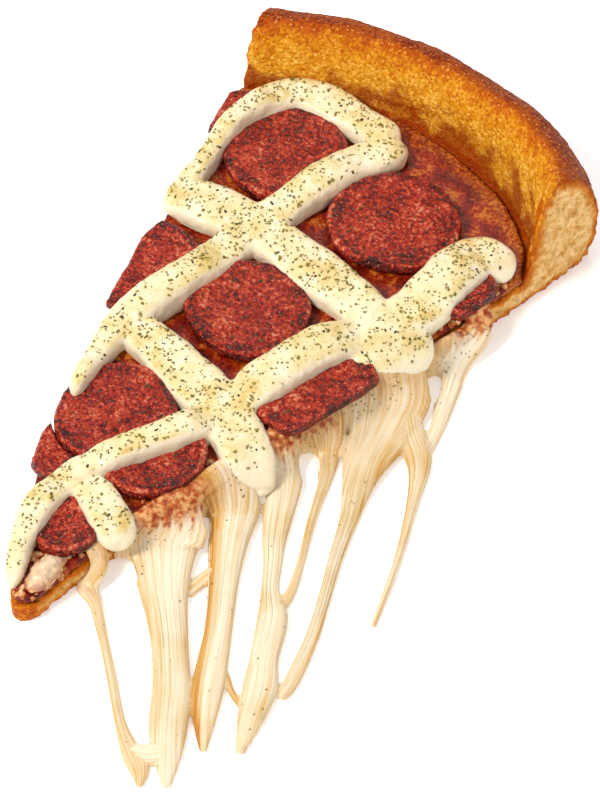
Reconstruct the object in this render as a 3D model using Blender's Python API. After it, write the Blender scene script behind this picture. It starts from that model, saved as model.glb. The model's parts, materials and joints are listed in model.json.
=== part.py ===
"""Sausage pizza slice with a cream cheese lattice and pulled mozzarella, as closed solids at real size.

The slice lies flat. Its tip points to -Y, its puffy rim is at +Y, and melted mozzarella flows over the
cut on its +X side, down to the surface below, and trails away from it in strands.

Lengths are in millimetres. Plan points are measured from the tip of the crust, and each mesh is moved and
turned to metres when it is made, so that the origin is on the flat underside, below the middle of the slice.
"""

import math
import random

import bmesh
import bpy
from mathutils import Vector, noise

MM = 0.001
GAP = 0.3  # clearance between pieces that touch
ORIGIN_FROM_TIP = 95.0

# Crust, in plan from its tip: both cuts run from the tip to the rim's foot
LEFT_CUT = ((-6, -1), (-14, 12), (-26, 43), (-36, 84), (-44, 122), (-51, 160))
RIGHT_CUT = ((0, 0), (3.5, 21), (12.5, 50), (22, 80), (32, 110), (42, 145))
RIM_FOOT = ((-51, 160), (-30, 169), (-5, 172), (20, 166), (35, 156), (42, 145))
RIM_OUTSIDE = ((-55.5, 184), (-38, 190), (-14, 192.5), (12, 190), (32.5, 182.5), (47.5, 171))
TIP_ROUNDING = 2.0
BASE_AT_TIP = 5.5
BASE_AT_FOOT = 8.0
FOOT_FROM_TIP = 165.0
RIM_HEIGHTS = ((0, 25), (0.25, 26), (0.5, 28), (0.75, 31.5), (1, 36))  # across the slice, from the left cut
# Rim section: share of its width, then share of its rise above the base or, outside, of its height
RIM_INSIDE = ((0, 0), (0.06, 0.14), (0.11, 0.38), (0.16, 0.64), (0.25, 0.88), (0.4, 1))
RIM_CROWN = ((0.4, 1), (0.6, 0.93), (0.8, 0.76), (0.95, 0.54), (1, 0.4))
RIM_HEEL = ((1, 0.4), (0.98, 0.22), (0.9, 0.07), (0.76, 0))
RIM_LUMPS = 0.7
RIM_LUMP_SIZE = 14.0
ACROSS = 26
ALONG = 9
INSIDE_STEPS = 7
CROWN_STEPS = 6
HEEL_STEPS = 3

# Sauce, a thin layer over the whole base
SAUCE_THICKNESS = 1.8
SAUCE_SETBACK = 0.6  # from the cuts and the rim
SAUCE_LUMPS = 0.25

# Sausage: centre in plan, diameter, how far it may reach past a cut, and the slices that lie over its edge
SAUSAGES = (
    ((7, 141), 32.5, 0, ()),
    ((-7, 98.5), 31, 0, ()),
    ((-28.5, 145.5), 32, 0, ()),
    ((-14.5, 54), 31, 0.3, ()),
    ((20.5, 86.5), 31, 4.5, (2,)),
    ((-1, 49), 26, 1.2, (4,)),
    ((-36.4, 95.5), 31.5, 1.2, (2,)),
    ((-20, 37.5), 18, 1.2, (4, 6)),
    ((-45, 148.5), 18, 0.6, (3,)),
    ((-5.5, 20.5), 17, 0.5, ()),
    ((34, 132), 16, 1.2, ()),
)
SAUSAGE_THICKNESS = 3.6
SAUSAGE_CUP = 0.8  # the middle is this much lower than the raised lip
SAUSAGE_LIP = 2.6
SAUSAGE_UNEVENNESS = 0.035

# Lattice strips: points in plan, each with its drop below the strip's own level and its half width
STRIPS = {
    "arch_left": (
        (-41.5, 118, 0, 3), (-42.6, 132, 0, 2.7), (-43.2, 141, 0, 2.8), (-42.4, 149, 0, 3.3), (-40, 156.5, 0, 4.3),
        (-36, 162, 0, 4.9), (-30, 164, 0, 5.2), (-23, 163.8, 0, 5.2), (-15, 163, 0, 4.8), (-6, 162.5, 0, 4.4),
    ),
    "long_upper": (
        (-3.5, 163, 0, 4.4), (-9.8, 154, 0, 5.2), (-13, 145.5, 0, 5.1), (-16, 136, 0, 5), (-18.8, 126, 0, 5),
        (-21.5, 113, 0, 5), (-23, 103.5, 0, 5), (-25, 95, 0, 5), (-27.3, 87, 0, 5), (-29.5, 80, 0, 4.6),
        (-29.6, 73, 0, 3.8), (-28.4, 65, 0, 2.9), (-27.2, 58, 0.3, 2.4), (-26, 52, 1, 2),
    ),
    "cross_upper": (
        (-44, 115, 0.4, 4.4), (-39.5, 118.8, 0, 6.2), (-32, 120.3, 0, 6.7), (-24, 121, 0, 6.2), (-15, 120.2, 0, 6.2),
        (-5, 118.2, 0, 6.6), (4, 116.4, 0, 6.6), (13, 114.5, 0, 6.3), (24, 110.5, 0, 6),
    ),
    "long_lower": (
        (25, 110, 0, 6), (20, 105, 0, 6), (15.6, 98, 0, 6), (12.4, 90, 0, 5.9), (9.9, 81.5, 0, 5.8),
        (7.6, 73, 0, 5.2), (4.6, 64, 0, 4.6), (1.2, 56.3, 0, 4.2), (-3, 49.3, 0, 4), (-7.3, 42, 0, 4),
        (-10.8, 35, 0, 4), (-12.8, 28, 0, 3.9), (-13.1, 21, 0, 3.8), (-12.2, 14.5, 0, 3.4), (-10.2, 8.5, 0, 2.9),
        (-7.8, 3, 0.4, 2.4), (-6.2, -0.3, 1.8, 2),
    ),
    "cross_middle": (
        (-29.5, 78, 0, 4.2), (-24, 77.8, 0, 5.4), (-17, 76.2, 0, 5.8), (-10, 74, 0, 6.5), (-3.5, 71.9, 0, 6.8),
        (3, 70, 0, 6.4), (10, 66.8, 0, 6.5), (16.3, 62.8, 1, 6.5), (20.3, 59.5, 5, 6.3), (23, 56.6, 10, 5.4),
    ),
    "cross_tip": ((-11, 33.5, 0, 4.2), (-5, 31.2, 0, 4.7), (0, 28.6, 0, 5), (4.4, 26.2, 0.8, 5.2), (7.2, 24.2, 4, 5)),
    "arch_right": (
        (24, 112, 0, 7), (26.8, 120, 0, 7), (28, 128, 0, 6.8), (28.8, 136, 0, 6.8), (30.8, 142, 0, 6.5),
        (35.3, 143.4, 0, 5.8), (39.5, 142, 1, 4.6),
    ),
    "pool": ((16, 113.5, 0, 8), (24, 109.5, 0, 10.5), (30, 106, 1.5, 11), (34.5, 103, 6, 9.5)),
}
STRIP_HEIGHT = 5.6
STRIP_RISE = 2.6  # a strip lies this much higher where it crosses a sausage
STRIP_SINK = 0.5  # how far a strip sinks into the sauce
STRIP_MIDDLE = 0.4  # a strip is widest at this share of its height
STRIP_LOWEST = 3.2  # a drooping end's widest level stops this high
STRIP_SQUARENESS = 4  # 2 is a round section; a higher number is flatter on top and at the sides
STRIP_FLAT_TOP = 0.97  # where its flat top lies, as a share of its height
STRIP_STEP = 5.5
END_SHARES = (0.55, 0.85)  # size of the last and the last but one section of a round end
STRIP_SIDES = 8
EDGE_BLEND = 8.0  # a strip climbs onto a slice of sausage over this length

# Dried herb flakes on the strips
FLAKES = 84
FLAKE_LENGTH = 2.0
FLAKE_WIDTH = 1.2
FLAKE_THICKNESS = 0.7
FLAKE_SINK = 0.2
FLAKE_SPREAD = 0.55  # flakes keep to this share of a strip's half width

# Soft cheese on the tip
TIP_CHEESE_CENTRE = (-2.2, 7.5)
TIP_CHEESE_RADII = (3.6, 7.0, 3.2)

# Pulled mozzarella: where each strand leaves the cut, its width there, then points in plan with its width
STRANDS = {
    "tip": (20, 7, ((5.1, 14.2, 5.8), (9, 11.5, 3.6), (17.4, 3.3, 2.4), (25.6, -5, 2.4), (34, -13.8, 2.8),
                    (41, -19.4, 4.8), (45.4, -22.5, 5), (48, -26, 1.4))),
    "broad": (38, 22, ((12.4, 34, 18.8), (14.8, 30.4, 16), (20.2, 23.4, 12.2), (26, 16.6, 9.8), (31.5, 9.8, 8.8),
                       (38.4, 0.4, 9), (44, -8.9, 9.2), (48.8, -16.3, 6.6), (53.2, -22.8, 1.8))),
    "second": (56, 17, ((21, 50.8, 12.8), (24.4, 44.3, 10), (27.3, 38.8, 8.6), (31.7, 31, 7.2), (37.5, 20.8, 6.7),
                        (42.7, 10.4, 7.6), (46.6, 2.6, 7.4), (50.9, -4.6, 4.6), (54.3, -9.8, 1.6))),
    "third": (69, 15, ((24.6, 65.8, 11), (27.8, 61, 8.4), (33.2, 50.2, 6), (36.4, 45, 5), (40.8, 37.4, 4.6),
                       (46.2, 30.4, 7.4), (51.2, 19.6, 7), (55.2, 12, 8.4), (58.2, 3.8, 6.4), (61.5, -5.6, 2.2))),
    "fourth": (82, 10, ((28.6, 79.5, 7.5), (33, 72, 3.6), (35.2, 65.8, 2.6), (37.3, 60, 2.3), (39.6, 54.3, 2.1),
                        (42, 48.6, 2.1), (45, 40, 2.6), (45.6, 34.2, 3.4))),
    "web": (101, 25, ((33.8, 96.8, 19), (36.4, 88.8, 15.5), (38, 82.4, 12), (39.8, 76.6, 8.8), (42.1, 70.8, 6.4),
                      (44.5, 64.8, 4.6), (48.5, 53.2, 3.4), (52.9, 41.9, 3), (57, 30.4, 3.3), (59.9, 18.3, 3.8),
                      (60.4, 12.6, 3))),
    "last": (108, 7, ((37.5, 101, 6.5), (42.2, 95, 7.2), (47.2, 90.5, 7), (50.3, 86.2, 5.2), (54, 78, 3.2),
                      (58.8, 66.3, 2.1), (62.6, 55.3, 1.9), (66.6, 42, 1.4))),
    "far": (130, 9, ((39.6, 119.5, 7.4), (43, 109.3, 5.4), (45.8, 101.8, 4), (48, 93, 3.4))),
}
CROSS_STRANDS = (
    ((27.5, 36, 3.4), (26, 32, 3.6), (25.6, 29, 3.6), (25, 25.5, 3.6)),
    ((42, 14, 2), (46.9, 10.6, 1.7), (50.5, 7.6, 1.7), (56, 5, 2)),
    ((41, -19, 5), (44.5, -18, 6), (48, -15, 6)),
)
STRAND_FLATNESS = 0.34  # thickness as a share of the width, within the two limits below
THINNEST = 1.5
THICKEST = 3.4
STRAND_STEP = 4.5
STRAND_SIDES = 8
# A strand's route out: a start in on the sauce, a point just over the cut, and one part of the way down it
ROOT_INSIDE = 2.2
ROOT_SINK = 0.2
ROOT_OVER = 1.2
ROOT_OVER_SINK = 1.0
ROOT_DOWN = 2.2
ROOT_DOWN_HEIGHT = 3.2

# Curtain of mozzarella down the right cut, which the strands come out of: points along the cut, with its
# half width outwards there
CURTAIN = ((23, 1), (30, 2), (42, 3), (60, 3.2), (80, 3), (100, 3.2), (118, 2.8), (128, 1.8))
CURTAIN_OUT = 1.5  # its middle, outside the cut
CURTAIN_OVER = 0.5  # its top, above the sauce
CURTAIN_WIDEST = 2.5  # the height at which it reaches out furthest
CURTAIN_STEP = 5.0

FLAT_ANGLE = math.radians(2)  # faces of a cut piece that turn less than this are merged
HALVINGS = 14  # of a search by halves, which brings it to a fiftieth of a millimetre


def on_curve(points, t):
    """The point at share t of a smooth curve through the points, equally spaced in t."""
    last = len(points) - 1
    i = min(int(t * last), last - 1)
    f = t * last - i
    a, b = Vector(points[i]), Vector(points[i + 1])
    before = Vector(points[i - 1]) if i > 0 else 2 * a - b
    after = Vector(points[i + 2]) if i < last - 1 else 2 * b - a
    bend = 2 * before - 5 * a + 4 * b - after
    twist = 3 * (a - b) + after - before
    return 0.5 * (2 * a + (b - before) * f + bend * f**2 + twist * f**3)


def curve_samples(points, step):
    """Points about a step apart along the curve through the given points."""
    fine = [on_curve(points, i / 200) for i in range(201)]
    lengths = [0.0]
    for a, b in zip(fine, fine[1:]):
        lengths.append(lengths[-1] + (b - a).length)
    count = max(3, round(lengths[-1] / step))
    samples = []
    for k in range(count + 1):
        wanted = lengths[-1] * k / count
        i = next(i for i, length in enumerate(lengths) if length >= wanted - 1e-9)
        samples.append(fine[i])
    return samples


def value_across(pairs, u):
    """A value read between (share, value) pairs."""
    for (u0, a), (u1, b) in zip(pairs, pairs[1:]):
        if u <= u1:
            return a + (b - a) * (u - u0) / (u1 - u0)
    return pairs[-1][1]


def cut_x(cut, y):
    """Where a cut lies at this distance from the tip."""
    low, high = 0.0, 1.0
    for _ in range(HALVINGS):
        middle = (low + high) / 2
        if on_curve(cut, middle).y < y:
            low = middle
        else:
            high = middle
    return on_curve(cut, low).x


def base_top(y):
    return BASE_AT_TIP + (BASE_AT_FOOT - BASE_AT_TIP) * y / FOOT_FROM_TIP


def sauce_top(y):
    return base_top(y) + GAP + SAUCE_THICKNESS


def base_plan(u, v):
    """Plan point of the base: u from the left cut to the right one, v from the tip to the rim's foot."""
    straight = on_curve(LEFT_CUT, v).lerp(on_curve(RIGHT_CUT, v), u)
    foot = on_curve(RIM_FOOT, u) - Vector(LEFT_CUT[-1]).lerp(Vector(RIGHT_CUT[-1]), u)
    tip = Vector((0, -TIP_ROUNDING * 4 * u * (1 - u) * (1 - v) ** 8))
    return straight + foot * v**2 + tip


def rim_section(u):
    """The rim's outline at u, from under its heel up over the crown to its foot, as (share of width, height)."""
    height = value_across(RIM_HEIGHTS, u)
    foot = base_top(on_curve(RIM_FOOT, u).y)
    heel = [on_curve(RIM_HEEL, 1 - i / HEEL_STEPS) for i in range(HEEL_STEPS)]
    crown = [on_curve(RIM_CROWN, 1 - i / CROWN_STEPS) for i in range(CROWN_STEPS)]
    inside = [on_curve(RIM_INSIDE, 1 - i / INSIDE_STEPS) for i in range(INSIDE_STEPS)]
    outline = [(w, h * height) for w, h in heel + crown]
    outline += [(w, foot + h * (height - foot)) for w, h in inside]
    return outline


def new_object(name, bm, material):
    mesh = bpy.data.meshes.new(name)
    bmesh.ops.recalc_face_normals(bm, faces=bm.faces)
    bm.to_mesh(mesh)
    bm.free()
    obj = bpy.data.objects.new(name, mesh)
    bpy.context.scene.collection.objects.link(obj)
    mesh.materials.append(material)
    mesh.shade_smooth()
    mesh.set_sharp_from_angle(angle=math.radians(50))
    return obj


def place(x, y, z):
    """A plan point and a height in millimetres, as a place in the part's frame in metres."""
    return Vector((x, y - ORIGIN_FROM_TIP, z)) * MM


def make_crust(material, name="crust", grow=0.0):
    """The base and the rim as one loft of closed sections, from the left cut to the right one."""
    bm = bmesh.new()
    columns = []
    for i in range(ACROSS + 1):
        u = i / ACROSS
        column = []
        for k in range(ALONG + 1):
            p = base_plan(u, k / ALONG)
            column.append((p.x, p.y, -grow))
        foot, outside = on_curve(RIM_FOOT, u), on_curve(RIM_OUTSIDE, u)
        outward = (outside - foot).normalized()
        for w, z in rim_section(u):
            p = foot.lerp(outside, w)
            lump = noise.noise(Vector((p.x, p.y, z)) / RIM_LUMP_SIZE) * RIM_LUMPS * min(1, z / 6)
            p += outward * (lump + grow * (1 if w > 0.5 else -1))
            column.append((p.x, p.y, z + lump + grow * (1 if z > 6 else -1)))
        for k in range(ALONG, -1, -1):
            p = base_plan(u, k / ALONG)
            column.append((p.x, p.y, base_top(p.y) + grow))
        if grow and i in (0, ACROSS):
            side = -grow if i == 0 else grow
            column = [(x + side, y, z) for x, y, z in column]
        columns.append([bm.verts.new(place(*p)) for p in column])
    count = len(columns[0])
    for left, right in zip(columns, columns[1:]):
        for j in range(count):
            bm.faces.new((left[j], left[j - 1], right[j - 1], right[j]))
    for column in (columns[0], columns[-1]):
        for k in range(ALONG):
            bm.faces.new((column[k], column[k + 1], column[count - 2 - k], column[count - 1 - k]))
        bm.faces.new(column[ALONG:count - ALONG])
    return new_object(name, bm, material)


def make_sauce(material, name="sauce", grow=0.0):
    """A slab over the base, a little in from its cuts."""
    bm = bmesh.new()
    layers = []
    for top in (False, True):
        rows = []
        for i in range(ACROSS + 1):
            row = []
            for k in range(ALONG + 1):
                p = base_plan(i / ACROSS, k / ALONG)
                middle = base_plan(0.5, 0.5)
                inward = (middle - p).normalized() * (SAUCE_SETBACK - grow)
                on_edge = i in (0, ACROSS) or k in (0, ALONG)
                z = base_top(p.y) + GAP - grow
                if top:
                    lump = noise.noise(Vector((p.x, p.y, 50)) / 7) * SAUCE_LUMPS
                    z = sauce_top(p.y) + grow + (0 if on_edge else min(0, lump))
                if on_edge:
                    p = p + inward
                row.append(bm.verts.new(place(p.x, p.y, z)))
            rows.append(row)
        layers.append(rows)
    bottom, upper = layers
    for i in range(ACROSS):
        for k in range(ALONG):
            bm.faces.new((bottom[i][k], bottom[i][k + 1], bottom[i + 1][k + 1], bottom[i + 1][k]))
            bm.faces.new((upper[i][k], upper[i + 1][k], upper[i + 1][k + 1], upper[i][k + 1]))
    for i in (0, ACROSS):
        for k in range(ALONG):
            bm.faces.new((bottom[i][k], bottom[i][k + 1], upper[i][k + 1], upper[i][k]))
    for k in (0, ALONG):
        for i in range(ACROSS):
            bm.faces.new((bottom[i][k], bottom[i + 1][k], upper[i + 1][k], upper[i][k]))
    return new_object(name, bm, material)


def sausage_radius(number, angle):
    """A slice's radius at an angle: a little uneven, and cut where it would hang too far over a cut."""
    (x, y), diameter, overhang, _ = SAUSAGES[number - 1]
    radius = diameter / 2
    radius *= 1 + SAUSAGE_UNEVENNESS * (math.sin(2 * angle + number) + 0.6 * math.sin(3 * angle + 2 * number))

    def is_inside(reach):
        px, py = x + reach * math.cos(angle), y + reach * math.sin(angle)
        return cut_x(LEFT_CUT, py) - overhang < px < cut_x(RIGHT_CUT, py) + overhang

    if is_inside(radius):
        return radius
    low, high = 0.0, radius
    for _ in range(HALVINGS):
        middle = (low + high) / 2
        if is_inside(middle):
            low = middle
        else:
            high = middle
    return low


def make_sausage(number, material, name=None, grow=0.0):
    """A slice of sausage with a raised lip, resting on the sauce."""
    (x, y), diameter, *_ = SAUSAGES[number - 1]
    segments = 24 if diameter > 20 else 16
    angles = [2 * math.pi * k / segments for k in range(segments)]
    radii = [sausage_radius(number, angle) for angle in angles]
    floor = sauce_top(y + diameter / 2) + GAP - grow
    top = floor + SAUSAGE_THICKNESS + 2 * grow
    bm = bmesh.new()
    low_middle = bm.verts.new(place(x, y, floor))
    high_middle = bm.verts.new(place(x, y, top - SAUSAGE_CUP))
    rings = []
    profile = ((0.9, floor), (0, floor + 0.9), (0, top - 1), (0.8, top), (SAUSAGE_LIP, top - 0.2 * SAUSAGE_CUP))
    for inset, z in profile:
        ring = []
        for angle, full_radius in zip(angles, radii):
            radius = max(1, full_radius + grow - inset)
            ring.append(bm.verts.new(place(x + radius * math.cos(angle), y + radius * math.sin(angle), z)))
        rings.append(ring)
    for k in range(segments):
        bm.faces.new((low_middle, rings[0][k], rings[0][k - 1]))
        bm.faces.new((high_middle, rings[-1][k - 1], rings[-1][k]))
        for low, high in zip(rings, rings[1:]):
            bm.faces.new((low[k - 1], low[k], high[k], high[k - 1]))
    return new_object(name or f"sausage_{number}", bm, material)


def covered(x, y):
    """From 0 over the bare sauce to 1 over a slice of sausage, changing smoothly past its edge."""
    most = 0.0
    for (sx, sy), diameter, *_ in SAUSAGES:
        past_edge = math.hypot(x - sx, y - sy) - diameter / 2
        most = max(most, min(1, max(0, 0.5 - past_edge / EDGE_BLEND)))
    return most * most * (3 - 2 * most)


def squared(share, squareness):
    """A sine or cosine moved out towards the corner of its circle."""
    return math.copysign(abs(share) ** (2 / squareness), share)


def tube(name, sections, sides, material, squareness=2):
    """A closed tube through sections of (centre, half width, rise, fall), level in z."""
    bm = bmesh.new()
    rings = []
    for i, (centre, half_width, rise, fall) in enumerate(sections):
        before, after = sections[max(0, i - 1)][0], sections[min(len(sections) - 1, i + 1)][0]
        heading = after - before
        across = Vector((heading.y, -heading.x, 0)).normalized()
        lean = Vector((0, 0, 1)) - heading.normalized() * heading.normalized().z
        upward = lean.normalized()
        ring = []
        for k in range(sides):
            angle = 2 * math.pi * (k + 0.5) / sides
            height = squared(math.sin(angle), squareness) * (rise if math.sin(angle) > 0 else fall)
            p = centre + across * half_width * squared(math.cos(angle), squareness) + upward * height
            ring.append(bm.verts.new(place(*p)))
        rings.append(ring)
    for ring, following in zip(rings, rings[1:]):
        for k in range(sides):
            bm.faces.new((ring[k - 1], ring[k], following[k], following[k - 1]))
    bm.faces.new(rings[0])
    bm.faces.new(rings[-1])
    return new_object(name, bm, material)


def rounded_ends(sections):
    """Narrows the first and last sections, for blunt round ends."""
    shaped = list(sections)
    for place_in_list, share in zip((0, 1, -1, -2), END_SHARES + END_SHARES):
        centre, half_width, rise, fall = shaped[place_in_list]
        shaped[place_in_list] = (centre, half_width * share, rise * share, fall * share)
    return shaped


def strip_levels(x, y):
    """How low and how high a strip reaches at a plan point."""
    top = STRIP_HEIGHT + STRIP_RISE * covered(x, y)
    return sauce_top(y) - STRIP_SINK, sauce_top(y) + top


def strip_sections(points, grow=0.0):
    sections = []
    for x, y, drop, half_width in curve_samples(points, STRIP_STEP):
        low, high = strip_levels(x, y)
        middle = low + STRIP_MIDDLE * (high - low)
        centre = Vector((x, y, max(middle - drop, STRIP_LOWEST)))
        sections.append((centre, half_width + grow, high - middle + grow, middle - low + grow))
    return rounded_ends(sections)


def make_strips(name, material, grow=0.0):
    return [
        tube(name, strip_sections(points, grow), STRIP_SIDES, material, STRIP_SQUARENESS)
        for points in STRIPS.values()
    ]


def make_tip_cheese(material):
    """A soft low mound on the tip's sauce."""
    bm = bmesh.new()
    bmesh.ops.create_icosphere(bm, subdivisions=2, radius=1)
    x, y = TIP_CHEESE_CENTRE
    for vertex in bm.verts:
        across, along, rise = (share * radius for share, radius in zip(vertex.co, TIP_CHEESE_RADII))
        vertex.co = place(x + across, y + along, sauce_top(y) + 0.3 + rise)
    return new_object("tip_cheese", bm, material)


def make_flakes(material):
    """Thin herb flakes lying on top of the strips, spread by a seeded draw."""
    draw = random.Random(7)
    flakes = []
    names = [name for name in STRIPS for _ in STRIPS[name]]
    for number in range(FLAKES):
        points = STRIPS[names[number % len(names)]]
        along_strip = draw.uniform(0.06, 0.9 if points[-1][2] < 1.5 else 0.7)
        x, y, drop, half_width = on_curve(points, along_strip)
        heading = (on_curve(points, along_strip + 0.02) - on_curve(points, along_strip)).xy.normalized()
        side = draw.uniform(-FLAKE_SPREAD, FLAKE_SPREAD) * half_width
        x, y = x + side * heading.y, y - side * heading.x
        low, high = strip_levels(x, y)
        surface = low + (high - low) * STRIP_FLAT_TOP - drop
        turn = draw.uniform(0, math.pi)
        along = Vector((math.cos(turn), math.sin(turn), 0)) * FLAKE_LENGTH * draw.uniform(0.35, 0.6)
        beside = Vector((-math.sin(turn), math.cos(turn), 0)) * FLAKE_WIDTH * draw.uniform(0.35, 0.6)
        middle = Vector((x, y, surface - FLAKE_SINK))
        bm = bmesh.new()
        rim = [bm.verts.new(place(*(middle + part))) for part in (along, beside, -along, -beside)]
        top = bm.verts.new(place(*(middle + Vector((0, 0, FLAKE_THICKNESS)))))
        base = bm.verts.new(place(*(middle - Vector((0, 0, FLAKE_THICKNESS)))))
        for k in range(4):
            bm.faces.new((rim[k - 1], rim[k], top))
            bm.faces.new((rim[k], rim[k - 1], base))
        flakes.append(new_object(f"flake_{number}", bm, material))
    return flakes


def cut_edge(y):
    """The right cut's point at this distance from the tip, and the way out from it."""
    heading = (on_curve(RIGHT_CUT, 0.6) - on_curve(RIGHT_CUT, 0.4)).normalized()
    return Vector((cut_x(RIGHT_CUT, y), y)), Vector((heading.y, -heading.x))


def curtain_sections():
    """A soft wall of cheese from the top of the sauce down the cut to the surface below."""
    sections = []
    for y, half_width in curve_samples(CURTAIN, CURTAIN_STEP):
        edge, outward = cut_edge(y)
        centre = edge + outward * CURTAIN_OUT
        rise = sauce_top(y) + CURTAIN_OVER - CURTAIN_WIDEST
        sections.append((Vector((*centre, CURTAIN_WIDEST)), half_width, rise, CURTAIN_WIDEST))
    return rounded_ends(sections)


def strand_section(x, y, z, width):
    thickness = min(THICKEST, max(THINNEST, STRAND_FLATNESS * width))
    return Vector((x, y, z + thickness / 2)), width / 2, thickness / 2, thickness / 2


def strand_sections(root_y, root_width, points):
    """A strand from the sauce over the cut, down its face and along the surface that the slice lies on."""
    edge, outward = cut_edge(root_y)
    start = edge - outward * ROOT_INSIDE
    over = edge + outward * ROOT_OVER
    down = edge.lerp(Vector(points[0][:2]), 0.25) + outward * ROOT_DOWN
    path = [
        (*start, sauce_top(root_y) - ROOT_SINK, root_width),
        (*over, sauce_top(root_y) - ROOT_OVER_SINK, root_width),
        (*down, ROOT_DOWN_HEIGHT, (2 * root_width + points[0][2]) / 3),
    ]
    path += [(x, y, 0, width) for x, y, width in points]
    samples = curve_samples(path, STRAND_STEP)
    return [strand_section(x, y, max(z, 0), max(width, 1)) for x, y, z, width in samples]


def evaluated_copy(obj):
    """Applies an object's modifiers to its mesh."""
    graph = bpy.context.evaluated_depsgraph_get()
    mesh = bpy.data.meshes.new_from_object(obj.evaluated_get(graph))
    old = obj.data
    obj.modifiers.clear()
    obj.data = mesh
    bpy.data.meshes.remove(old)


def join_all(name, pieces):
    """One Boolean union of the pieces, which are then removed."""
    first, rest = pieces[0], pieces[1:]
    collection = bpy.data.collections.new(name + "_pieces")
    bpy.context.scene.collection.children.link(collection)
    for piece in rest:
        bpy.context.scene.collection.objects.unlink(piece)
        collection.objects.link(piece)
    union = first.modifiers.new("union", "BOOLEAN")
    union.operation = "UNION"
    union.operand_type = "COLLECTION"
    union.collection = collection
    union.solver = "EXACT"
    evaluated_copy(first)
    for piece in rest:
        bpy.data.objects.remove(piece)
    bpy.data.collections.remove(collection)
    first.name = name
    return first


def cut_away(obj, cutters):
    """Takes each cutter from the object and removes it, then keeps the largest body that is left."""
    for cutter in cutters:
        difference = obj.modifiers.new("difference", "BOOLEAN")
        difference.operation = "DIFFERENCE"
        difference.object = cutter
        difference.solver = "MANIFOLD"  # EXACT loses the lattice at one of its cuts
        evaluated_copy(obj)
        bpy.data.objects.remove(cutter)
    keep_largest_body(obj)


def keep_largest_body(obj):
    bm = bmesh.new()
    bm.from_mesh(obj.data)
    bmesh.ops.remove_doubles(bm, verts=bm.verts, dist=0.02 * MM)
    bmesh.ops.dissolve_degenerate(bm, edges=bm.edges, dist=0.01 * MM)
    remaining = set(bm.faces)
    bodies = []
    while remaining:
        reached = {remaining.pop()}
        front = list(reached)
        while front:
            for edge in front.pop().edges:
                fresh = [face for face in edge.link_faces if face not in reached]
                reached.update(fresh)
                front += fresh
        remaining -= reached
        bodies.append(reached)
    bodies.sort(key=len)
    for scrap in bodies[:-1]:
        bmesh.ops.delete(bm, geom=list(scrap), context="FACES")
    bmesh.ops.dissolve_limit(bm, angle_limit=FLAT_ANGLE, verts=bm.verts, edges=bm.edges)
    bmesh.ops.triangulate(bm, faces=bm.faces)
    bm.to_mesh(obj.data)
    bm.free()


def make_material(name, colour, roughness):
    material = bpy.data.materials.new(name)
    material.use_nodes = True
    shader = material.node_tree.nodes["Principled BSDF"]
    shader.inputs["Base Color"].default_value = (*colour, 1)
    shader.inputs["Roughness"].default_value = roughness
    shader.inputs["Metallic"].default_value = 0
    return material


def main():
    for obj in list(bpy.data.objects):
        bpy.data.objects.remove(obj)

    crust = make_material("baked_crust", (0.62, 0.29, 0.07), 0.7)
    sauce = make_material("tomato_sauce", (0.42, 0.05, 0.01), 0.4)
    sausage = make_material("cured_sausage", (0.43, 0.05, 0.025), 0.4)
    cream_cheese = make_material("cream_cheese", (0.86, 0.74, 0.38), 0.35)
    mozzarella = make_material("mozzarella", (0.87, 0.72, 0.48), 0.35)

    make_crust(crust)
    make_sauce(sauce)

    def cutters(numbers):
        return [make_sausage(number, sausage, "cutter", GAP) for number in numbers]

    every_sausage = range(1, len(SAUSAGES) + 1)
    for number in every_sausage:
        piece = make_sausage(number, sausage)
        over = SAUSAGES[number - 1][3]
        if over:
            cut_away(piece, cutters(over))

    def surroundings():
        return [make_crust(crust, "cutter", GAP), make_sauce(sauce, "cutter", GAP)] + cutters(every_sausage)

    lattice = join_all("lattice", make_strips("strip", cream_cheese) + make_flakes(cream_cheese))
    cut_away(lattice, surroundings())

    tip_cheese = make_tip_cheese(mozzarella)
    cut_away(tip_cheese, surroundings() + make_strips("cutter", cream_cheese, GAP))

    pieces = [tube("curtain", curtain_sections(), STRAND_SIDES, mozzarella)]
    pieces += [
        tube(name, strand_sections(root_y, root_width, points), STRAND_SIDES, mozzarella)
        for name, (root_y, root_width, points) in STRANDS.items()
    ]
    pieces += [
        tube("cross", [strand_section(x, y, 0, width) for x, y, width in curve_samples(points, STRAND_STEP)],
             STRAND_SIDES, mozzarella)
        for points in CROSS_STRANDS
    ]
    cheese_pull = join_all("cheese_pull", pieces)
    cut_away(cheese_pull, surroundings() + make_strips("cutter", cream_cheese, GAP))


main()
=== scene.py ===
"""Looks of the sausage pizza slice.

Baked crust, oily tomato sauce, cured sausage, herbed cream cheese and pulled mozzarella. Meshes are
in metres. Sizes and places are named in millimetres. Plan points are measured from the tip of the
crust, x to the right and y towards the rim, and ORIGIN_FROM_TIP takes them to the frame.
"""

import json
import math
import bmesh
import bpy
import numpy as np
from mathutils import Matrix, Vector
from mathutils.bvhtree import BVHTree

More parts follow.
